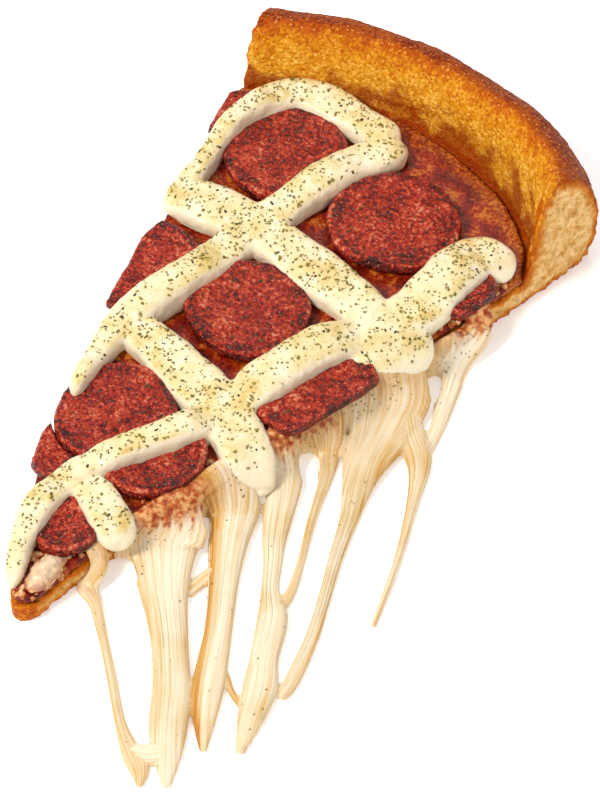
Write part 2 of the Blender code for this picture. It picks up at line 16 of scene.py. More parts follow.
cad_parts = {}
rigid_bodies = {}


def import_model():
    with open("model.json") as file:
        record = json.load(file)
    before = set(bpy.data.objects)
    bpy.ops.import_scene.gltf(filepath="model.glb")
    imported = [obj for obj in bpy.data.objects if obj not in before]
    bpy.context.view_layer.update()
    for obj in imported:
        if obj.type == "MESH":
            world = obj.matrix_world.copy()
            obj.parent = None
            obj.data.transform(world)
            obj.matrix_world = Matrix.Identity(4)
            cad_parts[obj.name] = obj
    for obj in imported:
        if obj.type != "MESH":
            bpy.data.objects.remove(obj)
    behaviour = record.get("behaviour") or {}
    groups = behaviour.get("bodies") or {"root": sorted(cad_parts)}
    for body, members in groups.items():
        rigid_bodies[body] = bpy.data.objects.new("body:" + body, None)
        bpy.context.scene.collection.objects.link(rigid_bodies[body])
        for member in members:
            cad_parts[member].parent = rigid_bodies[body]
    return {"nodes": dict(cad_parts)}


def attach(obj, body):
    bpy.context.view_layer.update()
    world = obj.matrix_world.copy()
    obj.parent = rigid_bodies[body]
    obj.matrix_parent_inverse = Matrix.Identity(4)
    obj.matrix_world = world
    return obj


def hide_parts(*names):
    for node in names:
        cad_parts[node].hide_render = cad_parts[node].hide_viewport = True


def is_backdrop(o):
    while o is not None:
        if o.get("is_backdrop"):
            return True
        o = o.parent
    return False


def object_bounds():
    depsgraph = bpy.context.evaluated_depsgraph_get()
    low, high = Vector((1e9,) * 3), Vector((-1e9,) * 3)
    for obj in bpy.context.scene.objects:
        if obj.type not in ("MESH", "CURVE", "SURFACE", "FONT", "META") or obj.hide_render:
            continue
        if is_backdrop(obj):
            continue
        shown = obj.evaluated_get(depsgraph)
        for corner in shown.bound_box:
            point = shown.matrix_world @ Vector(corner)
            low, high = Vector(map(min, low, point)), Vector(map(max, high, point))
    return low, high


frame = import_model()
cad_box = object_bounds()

MM = 0.001
ORIGIN_FROM_TIP = 95.0

# The slice's main sizes, which the strips and strands are laid on
RIGHT_CUT = ((0, 0), (3.5, 21), (12.5, 50), (22, 80), (32, 110), (42, 145))
RIM_FOOT = ((-51, 160), (-30, 169), (-5, 172), (20, 166), (35, 156), (42, 145))
SAUCE_TOP_AT_TIP = 7.6
SAUCE_TOP_AT_FOOT = 10.1
FOOT_FROM_TIP = 165.0

# Sausage: centre in plan and diameter
SAUSAGES = (
    ((7, 141), 32.5),
    ((-7, 98.5), 31),
    ((-28.5, 145.5), 32),
    ((-14.5, 54), 31),
    ((20.5, 86.5), 31),
    ((-1, 49), 26),
    ((-36.4, 95.5), 31.5),
    ((-20, 37.5), 18),
    ((-45, 148.5), 18),
    ((-5.5, 20.5), 17),
    ((34, 132), 16),
)

# Cheese strips: points in plan, each with its drop below the strip's own level and its half width
STRIPS = {
    "arch_left": (
        (-41.5, 118, 0, 3), (-42.6, 132, 0, 2.7), (-43.2, 141, 0, 2.8), (-42.4, 149, 0, 3.3),
        (-40, 156.5, 0, 4.3), (-36, 162, 0, 4.9), (-30, 164, 0, 5.2), (-23, 163.8, 0, 5.2),
        (-15, 163, 0, 4.8), (-6, 162.5, 0, 4.4),
    ),
    "long_upper": (
        (-3.5, 163, 0, 4.4), (-9.8, 154, 0, 5.2), (-13, 145.5, 0, 5.1), (-16, 136, 0, 5),
        (-18.8, 126, 0, 5), (-21.5, 113, 0, 5), (-23, 103.5, 0, 5), (-25, 95, 0, 5), (-27.3, 87, 0, 5),
        (-29.5, 80, 0, 4.6), (-29.6, 73, 0, 3.8), (-28.4, 65, 0, 2.9), (-27.2, 58, 0.3, 2.4),
        (-26, 52, 1, 2),
    ),
    "cross_upper": (
        (-44, 115, 0.4, 4.4), (-39.5, 118.8, 0, 6.2), (-32, 120.3, 0, 6.7), (-24, 121, 0, 6.2),
        (-15, 120.2, 0, 6.2), (-5, 118.2, 0, 6.6), (4, 116.4, 0, 6.6), (13, 114.5, 0, 6.3),
        (24, 110.5, 0, 6),
    ),
    "long_lower": (
        (25, 110, 0, 6), (20, 105, 0, 6), (15.6, 98, 0, 6), (12.4, 90, 0, 5.9), (9.9, 81.5, 0, 5.8),
        (7.6, 73, 0, 5.2), (4.6, 64, 0, 4.6), (1.2, 56.3, 0, 4.2), (-3, 49.3, 0, 4), (-7.3, 42, 0, 4),
        (-10.8, 35, 0, 4), (-12.8, 28, 0, 3.9), (-13.1, 21, 0, 3.8), (-12.2, 14.5, 0, 3.4),
        (-10.2, 8.5, 0, 2.9), (-7.8, 3, 0.4, 2.4), (-6.2, -0.3, 1.8, 2),
    ),
    "cross_middle": (
        (-29.5, 78, 0, 4.2), (-24, 77.8, 0, 5.4), (-17, 76.2, 0, 5.8), (-10, 74, 0, 6.5),
        (-3.5, 71.9, 0, 6.8), (3, 70, 0, 6.4), (10, 66.8, 0, 6.5), (16.3, 62.8, 1, 6.5),
        (20.3, 59.5, 5, 6.3), (23, 56.6, 10, 5.4),
    ),
    "cross_tip": (
        (-11, 33.5, 0, 4.2), (-5, 31.2, 0, 4.7), (0, 28.6, 0, 5), (4.4, 26.2, 0.8, 5.2), (7.2, 24.2, 4, 5),
    ),
    "arch_right": (
        (24, 112, 0, 7), (26.8, 120, 0, 7), (28, 128, 0, 6.8), (28.8, 136, 0, 6.8), (30.8, 142, 0, 6.5),
        (35.3, 143.4, 0, 5.8), (39.5, 142, 1, 4.6),
    ),
    "pool": (
        (16, 113.5, 0, 8), (24, 109.5, 0, 10.5), (30, 106, 1.5, 11), (34.5, 103, 6, 9.5),
    ),
}
STRIP_HEIGHT = 5.6
STRIP_RISE = 2.6  # a strip lies this much higher where it crosses a sausage
STRIP_SINK = 0.8  # how far a strip sinks into the sauce
STRIP_MIDDLE = 0.4  # a strip is widest at this share of its height
STRIP_LOWEST = 3.2  # a drooping end's widest level stops this high
STRIP_SQUARENESS = 3.6
STRIP_THINNING = 0.45  # a strip loses this share of its thickness where it droops over the cut

# Pulled mozzarella: where each strand leaves the cut, its width there, then points in plan with its width
STRANDS = {
    "tip": (20, 7, (
        (5.1, 14.2, 5.8), (9, 11.5, 3.6), (17.4, 3.3, 2.4), (25.6, -5, 2.4), (34, -13.8, 2.8),
        (41, -19.4, 4.8), (45.4, -22.5, 5), (48, -26, 1.4),
    )),
    "broad": (38, 22, (
        (12.4, 34, 18.8), (14.8, 30.4, 16), (20.2, 23.4, 12.2), (26, 16.6, 9.8), (31.5, 9.8, 8.8),
        (38.4, 0.4, 9), (44, -8.9, 9.2), (48.8, -16.3, 6.6), (53.2, -22.8, 1.8),
    )),
    "second": (56, 17, (
        (21, 50.8, 12.8), (24.4, 44.3, 10), (27.3, 38.8, 8.6), (31.7, 31, 7.2), (37.5, 20.8, 6.7),
        (42.7, 10.4, 7.6), (46.6, 2.6, 7.4), (50.9, -4.6, 4.6), (54.3, -9.8, 1.6),
    )),
    "third": (69, 15, (
        (24.6, 65.8, 11), (27.8, 61, 8.4), (33.2, 50.2, 6), (36.4, 45, 5), (40.8, 37.4, 4.6),
        (46.2, 30.4, 7.4), (51.2, 19.6, 7), (55.2, 12, 8.4), (58.2, 3.8, 6.4), (61.5, -5.6, 2.2),
    )),
    "fourth": (83.5, 13.6, (
        (28.6, 79.5, 7.5), (33, 72, 3.6), (35.2, 65.8, 2.6), (37.3, 60, 2.3), (39.6, 54.3, 2.1),
        (42, 48.6, 2.1), (45, 40, 2.6), (45.6, 34.2, 3.4),
    )),
    "web": (101, 25, (
        (33.8, 96.8, 19), (36.4, 88.8, 15.5), (38, 82.4, 12), (39.8, 76.6, 8.8), (42.1, 70.8, 6.4),
        (44.5, 64.8, 4.6), (48.5, 53.2, 3.4), (52.9, 41.9, 3), (57, 30.4, 3.3), (59.9, 18.3, 3.8),
        (60.4, 12.6, 3),
    )),
    "last": (108, 7, (
        (37.5, 101, 6.5), (42.2, 95, 7.2), (47.2, 90.5, 7), (50.3, 86.2, 5.2), (54, 78, 3.2),
        (58.8, 66.3, 2.1), (62.6, 55.3, 1.9), (66.6, 42, 1.4),
    )),
    "far": (130, 9, (
        (39.6, 119.5, 7.4), (43, 109.3, 5.4), (45.8, 101.8, 4), (48, 93, 3.4),
    )),
}
CROSS_STRANDS = (
    ((27.5, 36, 3.4), (26, 32, 3.6), (25.6, 29, 3.6), (25, 25.5, 3.6)),
    ((42, 14, 2), (46.9, 10.6, 1.7), (50.5, 7.6, 1.7), (56, 5, 2)),
    ((41, -19, 5), (44.5, -18, 6), (48, -15, 6)),
)
OILY_SIDES = {"broad": (0.15, 0), "second": (0.6, 0.1), "web": (0, 0.35), "third": (0, 0.15)}  # left, right
STRAND_FLATNESS = 0.34  # thickness as a share of the width, within the two limits below
THINNEST = 1.5
THICKEST = 3.4
# A strand's route out: a start in on the sauce, a point just over the cut, and one part of the way down it
ROOT_INSIDE = 2.2
ROOT_OVER = 1.2
ROOT_DOWN = 2.2
ROOT_DOWN_HEIGHT = 3.2

# Curtain of mozzarella down the right cut: points along the cut, with its half width outwards there
CURTAIN = ((23, 1), (30, 2), (42, 3), (60, 3.2), (80, 3), (100, 3.2), (118, 2.8), (128, 1.8))
CURTAIN_OUT = 1.5  # its middle, outside the cut
CURTAIN_OVER = 0.5  # its top, above the sauce
CURTAIN_WIDEST = 2.5  # the height at which it reaches out furthest
BROWNED = ((31, 49), (67, 84), (122, 140))  # stretches where its top browned in sausage fat

# How fine each surface is
CRUST_GRID = 0.6
SAUCE_GRID = 0.7
SAUSAGE_GRID = 0.4
STRIP_GRID = 0.45
PULL_GRID = 0.4
NOISE_REACH = 3  # noise stays mostly within a third of its range, so relief takes this times its height
PULL_MELT_ROUNDS = 80

# View: from the front right, looking down, through a long lens
VIEW_TARGET = (13.4, -4.5, 0)
VIEW_TURN = math.radians(34)
VIEW_HEIGHT = math.radians(50)
VIEW_DISTANCE = 1400
LENS = 263.4


def colour(code):
    """Linear red, green, blue and alpha of an sRGB hex code."""
    shares = [int(code[i:i + 2], 16) / 255 for i in (1, 3, 5)]
    return (*[s / 12.92 if s <= 0.04045 else ((s + 0.055) / 1.055) ** 2.4 for s in shares], 1)


def connect(tree, node, sockets):
    """Gives sockets a value, an output to follow, or a node, which stands for its first usable output."""
    for name, value in sockets.items():
        if isinstance(value, bpy.types.Node):
            value = next(output for output in value.outputs if output.enabled)
        if isinstance(value, bpy.types.NodeSocket):
            tree.links.new(value, node.inputs[name])
        else:
            node.inputs[name].default_value = value


def add(tree, kind, sockets=None, stops=None, **settings):
    """Adds a node with its settings and sockets. Stops are a colour ramp's."""
    node = tree.nodes.new(kind)
    for name, value in settings.items():
        setattr(node, name, value)
    connect(tree, node, sockets or {})
    if stops:
        elements = node.color_ramp.elements
        while len(elements) < len(stops):
            elements.new(0.5)
        for element, (position, code) in zip(elements, stops):
            element.position = position
            element.color = colour(code)
    return node


def new_tree(name, inputs, output):
    """A Geometry Nodes tree with named inputs, given as name and kind, and the outputs of its input node."""
    tree = bpy.data.node_groups.new(name, "GeometryNodeTree")
    for socket, kind in inputs:
        tree.interface.new_socket(socket, in_out="INPUT", socket_type="NodeSocket" + kind)
    tree.interface.new_socket(output, in_out="OUTPUT", socket_type="NodeSocketGeometry")
    return tree, add(tree, "NodeGroupInput").outputs


# Meshes


def new_object(name, mesh):
    obj = bpy.data.objects.new(name, mesh)
    bpy.context.scene.collection.objects.link(obj)
    return obj


def new_mesh(name, bm):
    mesh = bpy.data.meshes.new(name)
    bm.to_mesh(mesh)
    bm.free()
    return mesh


def apply_all(obj):
    """Turns the object, with its modifiers, into a plain mesh."""
    graph = bpy.context.evaluated_depsgraph_get()
    mesh = bpy.data.meshes.new_from_object(obj.evaluated_get(graph))
    old = obj.data
    obj.modifiers.clear()
    obj.data = mesh
    bpy.data.meshes.remove(old)
    mesh.name = obj.name
    return obj


def apply_tree(obj, tree, values):
    """Runs a Geometry Nodes tree on the object with these inputs, and keeps the plain mesh."""
    modifier = obj.modifiers.new(tree.name, "NODES")
    modifier.node_group = tree
    for name, value in values.items():
        modifier[tree.interface.items_tree[name].identifier] = value
    return apply_all(obj)


def places(mesh):
    """The vertices' places, in millimetres from the tip of the crust."""
    co = np.empty(len(mesh.vertices) * 3, np.float32)
    mesh.vertices.foreach_get("co", co)
    co = co.reshape(-1, 3).astype(float) / MM
    co[:, 1] += ORIGIN_FROM_TIP
    return co


def normals(mesh):
    found = np.empty(len(mesh.vertices) * 3, np.float32)
    mesh.vertex_normals.foreach_get("vector", found)
    return found.reshape(-1, 3).astype(float)


def write_attributes(obj, **attributes):
    """Writes each attribute's values, one for each vertex."""
    for name, values in attributes.items():
        attribute = obj.data.attributes.get(name) or obj.data.attributes.new(name, "FLOAT", "POINT")
        attribute.data.foreach_set("value", np.asarray(values, np.float32))


def even_mesh(obj, grid, rounds):
    """Remeshes closed shapes into one even skin, and melts its steps and creases."""
    remesh = obj.modifiers.new("remesh", "REMESH")
    remesh.mode = "VOXEL"
    remesh.voxel_size = grid * MM
    smooth = obj.modifiers.new("melt", "SMOOTH")
    smooth.factor = 0.5
    smooth.iterations = rounds
    return apply_all(obj)


def dense_copy(node, name, grid, rounds, sharp=math.radians(38)):
    """A CAD node's form as an even fine mesh: its facets are rounded and its sharp edges stay."""
    mesh = frame["nodes"][node].data.copy()
    mesh.materials.clear()
    bm = bmesh.new()
    bm.from_mesh(mesh)
    bmesh.ops.remove_doubles(bm, verts=bm.verts, dist=0.01 * MM)
    bmesh.ops.join_triangles(
        bm, faces=bm.faces, angle_face_threshold=math.radians(14), angle_shape_threshold=math.radians(50)
    )
    crease = bm.edges.layers.float.new("crease_edge")
    for edge in bm.edges:
        if len(edge.link_faces) == 2 and edge.calc_face_angle(0) > sharp:
            edge[crease] = 1
    bm.to_mesh(mesh)
    bm.free()
    obj = new_object(name, mesh)
    subdivide = obj.modifiers.new("subdivide", "SUBSURF")
    subdivide.levels = 2
    subdivide.render_levels = 2
    return even_mesh(obj, grid, rounds)


def join(name, pieces):
    """One object that holds all the pieces' shapes."""
    bm = bmesh.new()
    for piece in pieces:
        bm.from_mesh(piece.data)
    for piece in pieces:
        bpy.data.objects.remove(piece)
    return new_object(name, new_mesh(name, bm))


def relief(obj, layers):
    """Moves the surface in and out by noise: name, size, height, mask, and x, y, z stretch if any."""
    inputs = [("Surface", "Geometry")] + [(name + " height", "Float") for name, *_ in layers]
    tree, given = new_tree(obj.name + "_relief", inputs, "Surface")
    position = add(tree, "GeometryNodeInputPosition")
    normal = add(tree, "GeometryNodeInputNormal")
    total = None
    for name, size, _, mask, *stretch in layers:
        scale = Vector([1 / (size * MM * s) for s in stretch or (1, 1, 1)])
        spot = add(tree, "ShaderNodeVectorMath", {0: position, 1: scale}, operation="MULTIPLY")
        grain = add(tree, "ShaderNodeTexNoise", {"Vector": spot, "Scale": 1, "Detail": 2})
        centred = add(tree, "ShaderNodeMath", {0: grain, 1: 0.5}, operation="SUBTRACT")
        height = add(tree, "ShaderNodeMath", {0: centred, 1: given[name + " height"]}, operation="MULTIPLY")
        if mask:
            share = add(tree, "GeometryNodeInputNamedAttribute", {"Name": mask}, data_type="FLOAT")
            height = add(tree, "ShaderNodeMath", {0: height, 1: share}, operation="MULTIPLY")
        if total is not None:
            height = add(tree, "ShaderNodeMath", {0: height, 1: total}, operation="ADD")
        total = height
    offset = add(tree, "ShaderNodeVectorMath", {0: normal, "Scale": total}, operation="SCALE")
    moved = add(tree, "GeometryNodeSetPosition", {"Geometry": given["Surface"], "Offset": offset})
    add(tree, "NodeGroupOutput", {"Surface": moved})
    heights = {name + " height": height * MM * NOISE_REACH for name, _, height, *_ in layers}
    return apply_tree(obj, tree, heights)


def smooth_path(points, step):
    """Rows about a step apart on a smooth curve through the rows given, and how far along each is."""
    points = np.array(points, float)
    knots = np.vstack((2 * points[0] - points[1], points, 2 * points[-1] - points[-2]))
    share = np.linspace(0, 1, 40, endpoint=False)[:, None]
    fine = []
    for before, a, b, after in zip(knots, knots[1:], knots[2:], knots[3:]):
        bend = 2 * before - 5 * a + 4 * b - after
        twist = 3 * (a - b) + after - before
        fine.append(0.5 * (2 * a + (b - before) * share + bend * share**2 + twist * share**3))
    fine = np.vstack((*fine, points[-1:]))
    along = np.concatenate(([0], np.cumsum(np.linalg.norm(np.diff(fine[:, :3], axis=0), axis=1))))
    wanted = np.linspace(0, along[-1], max(3, round(along[-1] / step)) + 1)
    return np.column_stack([np.interp(wanted, along, column) for column in fine.T]), wanted


def smooth_step(low, high, values):
    share = np.clip((values - low) / (high - low), 0, 1)
    return share * share * (3 - 2 * share)


def waves(draw, count, lengths, wavelength):
    """Smooth seeded unevenness from -1 to 1 along one or more lines."""
    phases = draw.uniform(0, 2 * math.pi, (3, count))
    total = sum(
        weight * np.sin(2 * math.pi * lengths[:, None] / (wavelength * stretch) + phases[i])
        for i, (stretch, weight) in enumerate(((1, 0.5), (0.53, 0.3), (2.3, 0.4)))
    )
    return np.clip(total, -1, 1)


def patchiness(where, size):
    """From 0 to 1 in smooth patches about the given size, at places in plan."""
    x, y = where.T / size
    total = np.sin(1.7 * x + 0.9 * np.sin(1.3 * y)) + np.sin(1.9 * y + 1.1 * np.sin(1.1 * x + 2) + 1)
    return smooth_step(-1.2, 1.2, total)


def melt(obj, mask, rounds):
    """Smooths the surface where the mask attribute allows, as soft cheese flows together."""
    tree, given = new_tree(obj.name + "_melt", (("Surface", "Geometry"), ("Rounds", "Int")), "Surface")
    position = add(tree, "GeometryNodeInputPosition")
    share = add(tree, "GeometryNodeInputNamedAttribute", {"Name": mask}, data_type="FLOAT")
    blurred = add(
        tree, "GeometryNodeBlurAttribute",
        {"Value": position, "Iterations": given["Rounds"], "Weight": share}, data_type="FLOAT_VECTOR",
    )
    moved = add(tree, "GeometryNodeSetPosition", {"Geometry": given["Surface"], "Position": blurred})
    add(tree, "NodeGroupOutput", {"Surface": moved})
    return apply_tree(obj, tree, {"Rounds": rounds})


def sweep(name, centres, half_widths, rises, falls, sides, squareness=2.0, skin=None):
    """A closed tube with level sections, whose sides go from round (2) to square (higher)."""
    headings = np.gradient(centres, axis=0)
    headings /= np.linalg.norm(headings, axis=1, keepdims=True)
    across = np.column_stack((headings[:, 1], -headings[:, 0], np.zeros(len(centres))))
    across /= np.linalg.norm(across, axis=1, keepdims=True)
    upward = np.cross(across, headings)
    upward *= np.where(upward[:, 2:] < 0, -1, 1)
    angles = 2 * np.pi * (np.arange(sides) + 0.5) / sides
    side = np.sign(np.cos(angles)) * np.abs(np.cos(angles)) ** (2 / squareness)
    lift = np.sign(np.sin(angles)) * np.abs(np.sin(angles)) ** (2 / squareness)
    heights = np.where(lift > 0, lift * rises[:, None], lift * falls[:, None])
    if skin is not None:
        heights = heights + np.where(lift > 0.2, skin, 0)
    rings = centres[:, None] + across[:, None] * (side * half_widths[:, None])[..., None]
    rings = rings + upward[:, None] * heights[..., None]
    rings[..., 1] -= ORIGIN_FROM_TIP
    bm = bmesh.new()
    made = [[bm.verts.new(Vector(p) * MM) for p in ring] for ring in rings]
    for ring, following in zip(made, made[1:]):
        for k in range(sides):
            bm.faces.new((ring[k - 1], ring[k], following[k], following[k - 1]))
    bm.faces.new(made[0])
    bm.faces.new(made[-1])
    bmesh.ops.recalc_face_normals(bm, faces=bm.faces)
    return new_object(name, new_mesh(name, bm))


def blunt(lengths, radius):
    """From nearly 0 at a path's ends to 1 at a radius from them, as a round end widens."""
    inside = np.clip(np.minimum(lengths, lengths[-1] - lengths) / radius, 0.04, 1)
    return np.sqrt(1 - (1 - inside) ** 2)


def sauce_top(y):
    return SAUCE_TOP_AT_TIP + (SAUCE_TOP_AT_FOOT - SAUCE_TOP_AT_TIP) * y / FOOT_FROM_TIP


def covered(x, y):
    """From 0 over the bare sauce to 1 over a slice of sausage, changing smoothly past its edge."""
    most = np.zeros_like(x)
    for (sx, sy), diameter in SAUSAGES:
        past_edge = np.hypot(x - sx, y - sy) - diameter / 2
        most = np.maximum(most, np.clip(0.5 - past_edge / 8, 0, 1))
    return most * most * (3 - 2 * most)


def distance_in_plan(where, line):
    apart = where[:, None, :2] - line[None, :, :2]
    return np.min(np.hypot(apart[..., 0], apart[..., 1]), axis=1)


def past_rim_foot(where):
    """How far each place lies up the rim from its foot, or down on the slice if negative."""
    foot, _ = smooth_path(RIM_FOOT, 1.0)
    side = np.where(where[:, 1] > np.interp(where[:, 0], foot[:, 0], foot[:, 1]), 1, -1)
    return distance_in_plan(where, foot) * side


# Materials. Each pattern reads the piece's own coordinates in millimetres.


def new_material(name):
    material = bpy.data.materials.new(name)
    material.use_nodes = True
    tree = material.node_tree
    tree.nodes.clear()
    shader = add(tree, "ShaderNodeBsdfPrincipled")
    add(tree, "ShaderNodeOutputMaterial", {"Surface": shader})
    coordinates = add(tree, "ShaderNodeTexCoord").outputs["Object"]
    in_mm = add(tree, "ShaderNodeVectorMath", {0: coordinates, 1: (1 / MM,) * 3}, operation="MULTIPLY")
    return material, tree, shader, in_mm


def baked_crust():
    """Baked wheat dough: matt golden skin that browns to the crest, gritty with semolina and with pale specks
    that are partly painted glints, and pale crumb with painted shade in its pores.
    """
    material, tree, shader, spot = new_material("baked_wheat_crust")
    bake, stain, crumb, skin = (
        add(tree, "ShaderNodeAttribute", attribute_name=name).outputs["Fac"]
        for name in ("bake", "stain", "crumb", "skin_depth")
    )
    blotch = add(tree, "ShaderNodeTexNoise", {"Vector": spot, "Scale": 1 / 9, "Detail": 5})
    grit = add(tree, "ShaderNodeTexNoise", {"Vector": spot, "Scale": 1 / 0.8, "Detail": 3, "Roughness": 0.7})
    blotched = add(tree, "ShaderNodeMath", {0: blotch, 1: 0.55, 2: bake}, operation="MULTIPLY_ADD")
    gritty = add(tree, "ShaderNodeMath", {0: grit, 1: 0.6, 2: blotched}, operation="MULTIPLY_ADD")
    grains = add(tree, "ShaderNodeTexVoronoi", {"Vector": spot, "Scale": 1 / 0.7}).outputs
    grainy = add(tree, "ShaderNodeMath", {0: grains["Color"], 1: 0.5, 2: gritty}, operation="MULTIPLY_ADD")
    level = add(tree, "ShaderNodeMath", {0: grainy, 1: 0.73}, operation="SUBTRACT")
    skin_colour = add(
        tree, "ShaderNodeValToRGB", {"Fac": level},
        stops=((0, "#f0ba52"), (0.2, "#d8951f"), (0.4, "#c67812"), (0.58, "#b4590d"), (0.78, "#a7480c"),
               (1, "#7a2907")),
    )
    # Pale specks: partly coarse semolina grains that caught less heat, partly painted glints
    coarse = add(tree, "ShaderNodeTexVoronoi", {"Vector": spot, "Scale": 1 / 1.3})
    bright = add(
        tree, "ShaderNodeMapRange", {"Value": coarse, "From Min": 0.24, "From Max": 0.13, "To Max": 0.75}
    )
    speckled = add(
        tree, "ShaderNodeMix", {"Factor": bright, "A": skin_colour, "B": colour("#e8a857")}, data_type="RGBA"
    )
    # Sauce that climbed the rim in patches
    patch = add(tree, "ShaderNodeTexNoise", {"Vector": spot, "Scale": 1 / 6, "Detail": 5})
    reach = add(tree, "ShaderNodeMath", {0: patch, 1: stain}, operation="ADD")
    stain_share = add(
        tree, "ShaderNodeMapRange", {"Value": reach, "From Min": 0.95, "From Max": 1.15, "To Max": 0.8}
    )
    stained = add(
        tree, "ShaderNodeMix", {"Factor": stain_share, "A": speckled, "B": colour("#8c2808")},
        data_type="RGBA",
    )
    # Crumb: pale walls, pores painted in as shade, and a toasted line under the skin
    pores = add(
        tree, "ShaderNodeTexNoise", {"Vector": spot, "Scale": 1 / 2.2, "Detail": 4, "Roughness": 0.65}
    )
    crumb_colour = add(
        tree, "ShaderNodeValToRGB", {"Fac": pores},
        stops=((0.3, "#bd7f38"), (0.42, "#d8a257"), (0.55, "#e9bd7a"), (0.7, "#f4d49b")),
    )
    under_skin = add(
        tree, "ShaderNodeValToRGB", {"Fac": skin},
        stops=((0, "#c4701c"), (0.12, "#dd9632"), (0.26, "#ecc070"), (0.45, "#ffffff")),
    )
    toasted = add(
        tree, "ShaderNodeMix", {"Factor": 1.0, "A": crumb_colour, "B": under_skin},
        data_type="RGBA", blend_type="MULTIPLY",
    )
    both = add(tree, "ShaderNodeMix", {"Factor": crumb, "A": stained, "B": toasted}, data_type="RGBA")
    bump = add(
        tree, "ShaderNodeBump", {"Height": grains["Distance"], "Strength": 0.8, "Distance": -0.35 * MM}
    )
    roughness = add(tree, "ShaderNodeMapRange", {"Value": stain_share, "To Min": 0.6, "To Max": 0.35})
    connect(tree, shader, {
        "Base Color": both, "Normal": bump, "Roughness": roughness, "Specular IOR Level": 0.07,
    })
    return material


def oily_sauce():
    """Cooked tomato sauce with melted fat: wet, deep orange red, with pale oily cheese in it."""
    material, tree, shader, spot = new_material("cooked_tomato_sauce")
    coarse = add(tree, "ShaderNodeTexNoise", {"Vector": spot, "Scale": 1 / 5, "Detail": 5})
    fine = add(tree, "ShaderNodeTexNoise", {"Vector": spot, "Scale": 1 / 0.9, "Detail": 3, "Roughness": 0.6})
    level = add(tree, "ShaderNodeMath", {0: fine, 1: 0.7, 2: coarse}, operation="MULTIPLY_ADD")
    ramp = add(
        tree, "ShaderNodeValToRGB", {"Fac": level},
        stops=((0.6, "#3c0702"), (0.74, "#640f02"), (0.87, "#8a2005"), (0.96, "#a6400c"), (1, "#b8691f")),
    )
    # Where the sauce runs out towards the rim, baked dough shows through
    thin = add(tree, "ShaderNodeAttribute", attribute_name="thin").outputs["Fac"]
    patch = add(tree, "ShaderNodeTexNoise", {"Vector": spot, "Scale": 1 / 4, "Detail": 5})
    reach = add(tree, "ShaderNodeMath", {0: patch, 1: thin}, operation="ADD")
    bare = add(tree, "ShaderNodeMapRange", {"Value": reach, "From Min": 1.1, "From Max": 1.4, "To Max": 0.8})
    dough = add(
        tree, "ShaderNodeValToRGB", {"Fac": fine},
        stops=((0.35, "#84290a"), (0.5, "#a84e14"), (0.65, "#c9832e")),
    )
    mixed = add(tree, "ShaderNodeMix", {"Factor": bare, "A": ramp, "B": dough}, data_type="RGBA")
    bump = add(tree, "ShaderNodeBump", {"Height": fine, "Strength": 0.7, "Distance": 0.6 * MM})
    connect(tree, shader, {"Base Color": mixed, "Normal": bump, "Roughness": 0.25, "Specular IOR Level": 0.3})
    return material


def cured_sausage():
    """Cured minced pork, sliced and fried: dark red lean, orange and pink fat, a dark ring inside a lighter
    lip, painted shade on the sides, painted glints, and hot oil.
    """
    material, tree, shader, spot = new_material("cured_pork_sausage")
    rim = add(tree, "ShaderNodeAttribute", attribute_name="rim").outputs["Fac"]
    coarse = add(tree, "ShaderNodeTexNoise", {"Vector": spot, "Scale": 1 / 5, "Detail": 3})
    mince = add(
        tree, "ShaderNodeTexNoise", {"Vector": spot, "Scale": 1 / 0.95, "Detail": 3, "Roughness": 0.65}
    )
    level = add(tree, "ShaderNodeMath", {0: coarse, 1: 0.5, 2: mince}, operation="MULTIPLY_ADD")
    # The rim attribute adds the dark ring, lightens the lip as a partly painted highlight and adds painted
    # shade to the sides
    rim_and_painted_shade_level = add(tree, "ShaderNodeMath", {0: rim, 1: -0.09, 2: level}, operation="MULTIPLY_ADD")
    ramp = add(
        tree, "ShaderNodeValToRGB", {"Fac": rim_and_painted_shade_level},
        stops=((0.52, "#2c0301"), (0.66, "#6e0e03"), (0.76, "#a81d07"), (0.86, "#c43f1b"), (0.97, "#e0906c")),
    )
    flecks = add(tree, "ShaderNodeTexVoronoi", {"Vector": spot, "Scale": 1 / 1.7})
    fat = add(tree, "ShaderNodeMapRange", {"Value": flecks, "From Min": 0.3, "From Max": 0.16, "To Max": 0.5})
    fatty = add(tree, "ShaderNodeMix", {"Factor": fat, "A": ramp, "B": colour("#bf4a1c")}, data_type="RGBA")
    # Painted glints: pale specks that stand in for the shine on grains of fat and salt, drawn about twice as
    # coarse as they are so that they show
    glint_cells = add(tree, "ShaderNodeTexVoronoi", {"Vector": spot, "Scale": 1 / 0.9})
    painted_glints = add(
        tree, "ShaderNodeMapRange", {"Value": glint_cells, "From Min": 0.18, "From Max": 0.1, "To Max": 0.8},
    )
    bright = add(
        tree, "ShaderNodeMix", {"Factor": painted_glints, "A": fatty, "B": colour("#e6a890")}, data_type="RGBA",
    )
    texture = add(
        tree, "ShaderNodeTexNoise", {"Vector": spot, "Scale": 1 / 0.6, "Detail": 2, "Roughness": 0.7}
    )
    lumpy = add(tree, "ShaderNodeMath", {0: mince, 1: 2.0, 2: texture}, operation="MULTIPLY_ADD")
    bump = add(tree, "ShaderNodeBump", {"Height": lumpy, "Strength": 1.0, "Distance": 0.6 * MM})
    connect(tree, shader, {
        "Base Color": bright, "Normal": bump, "Roughness": 0.24, "Specular IOR Level": 0.45,
    })
    return material


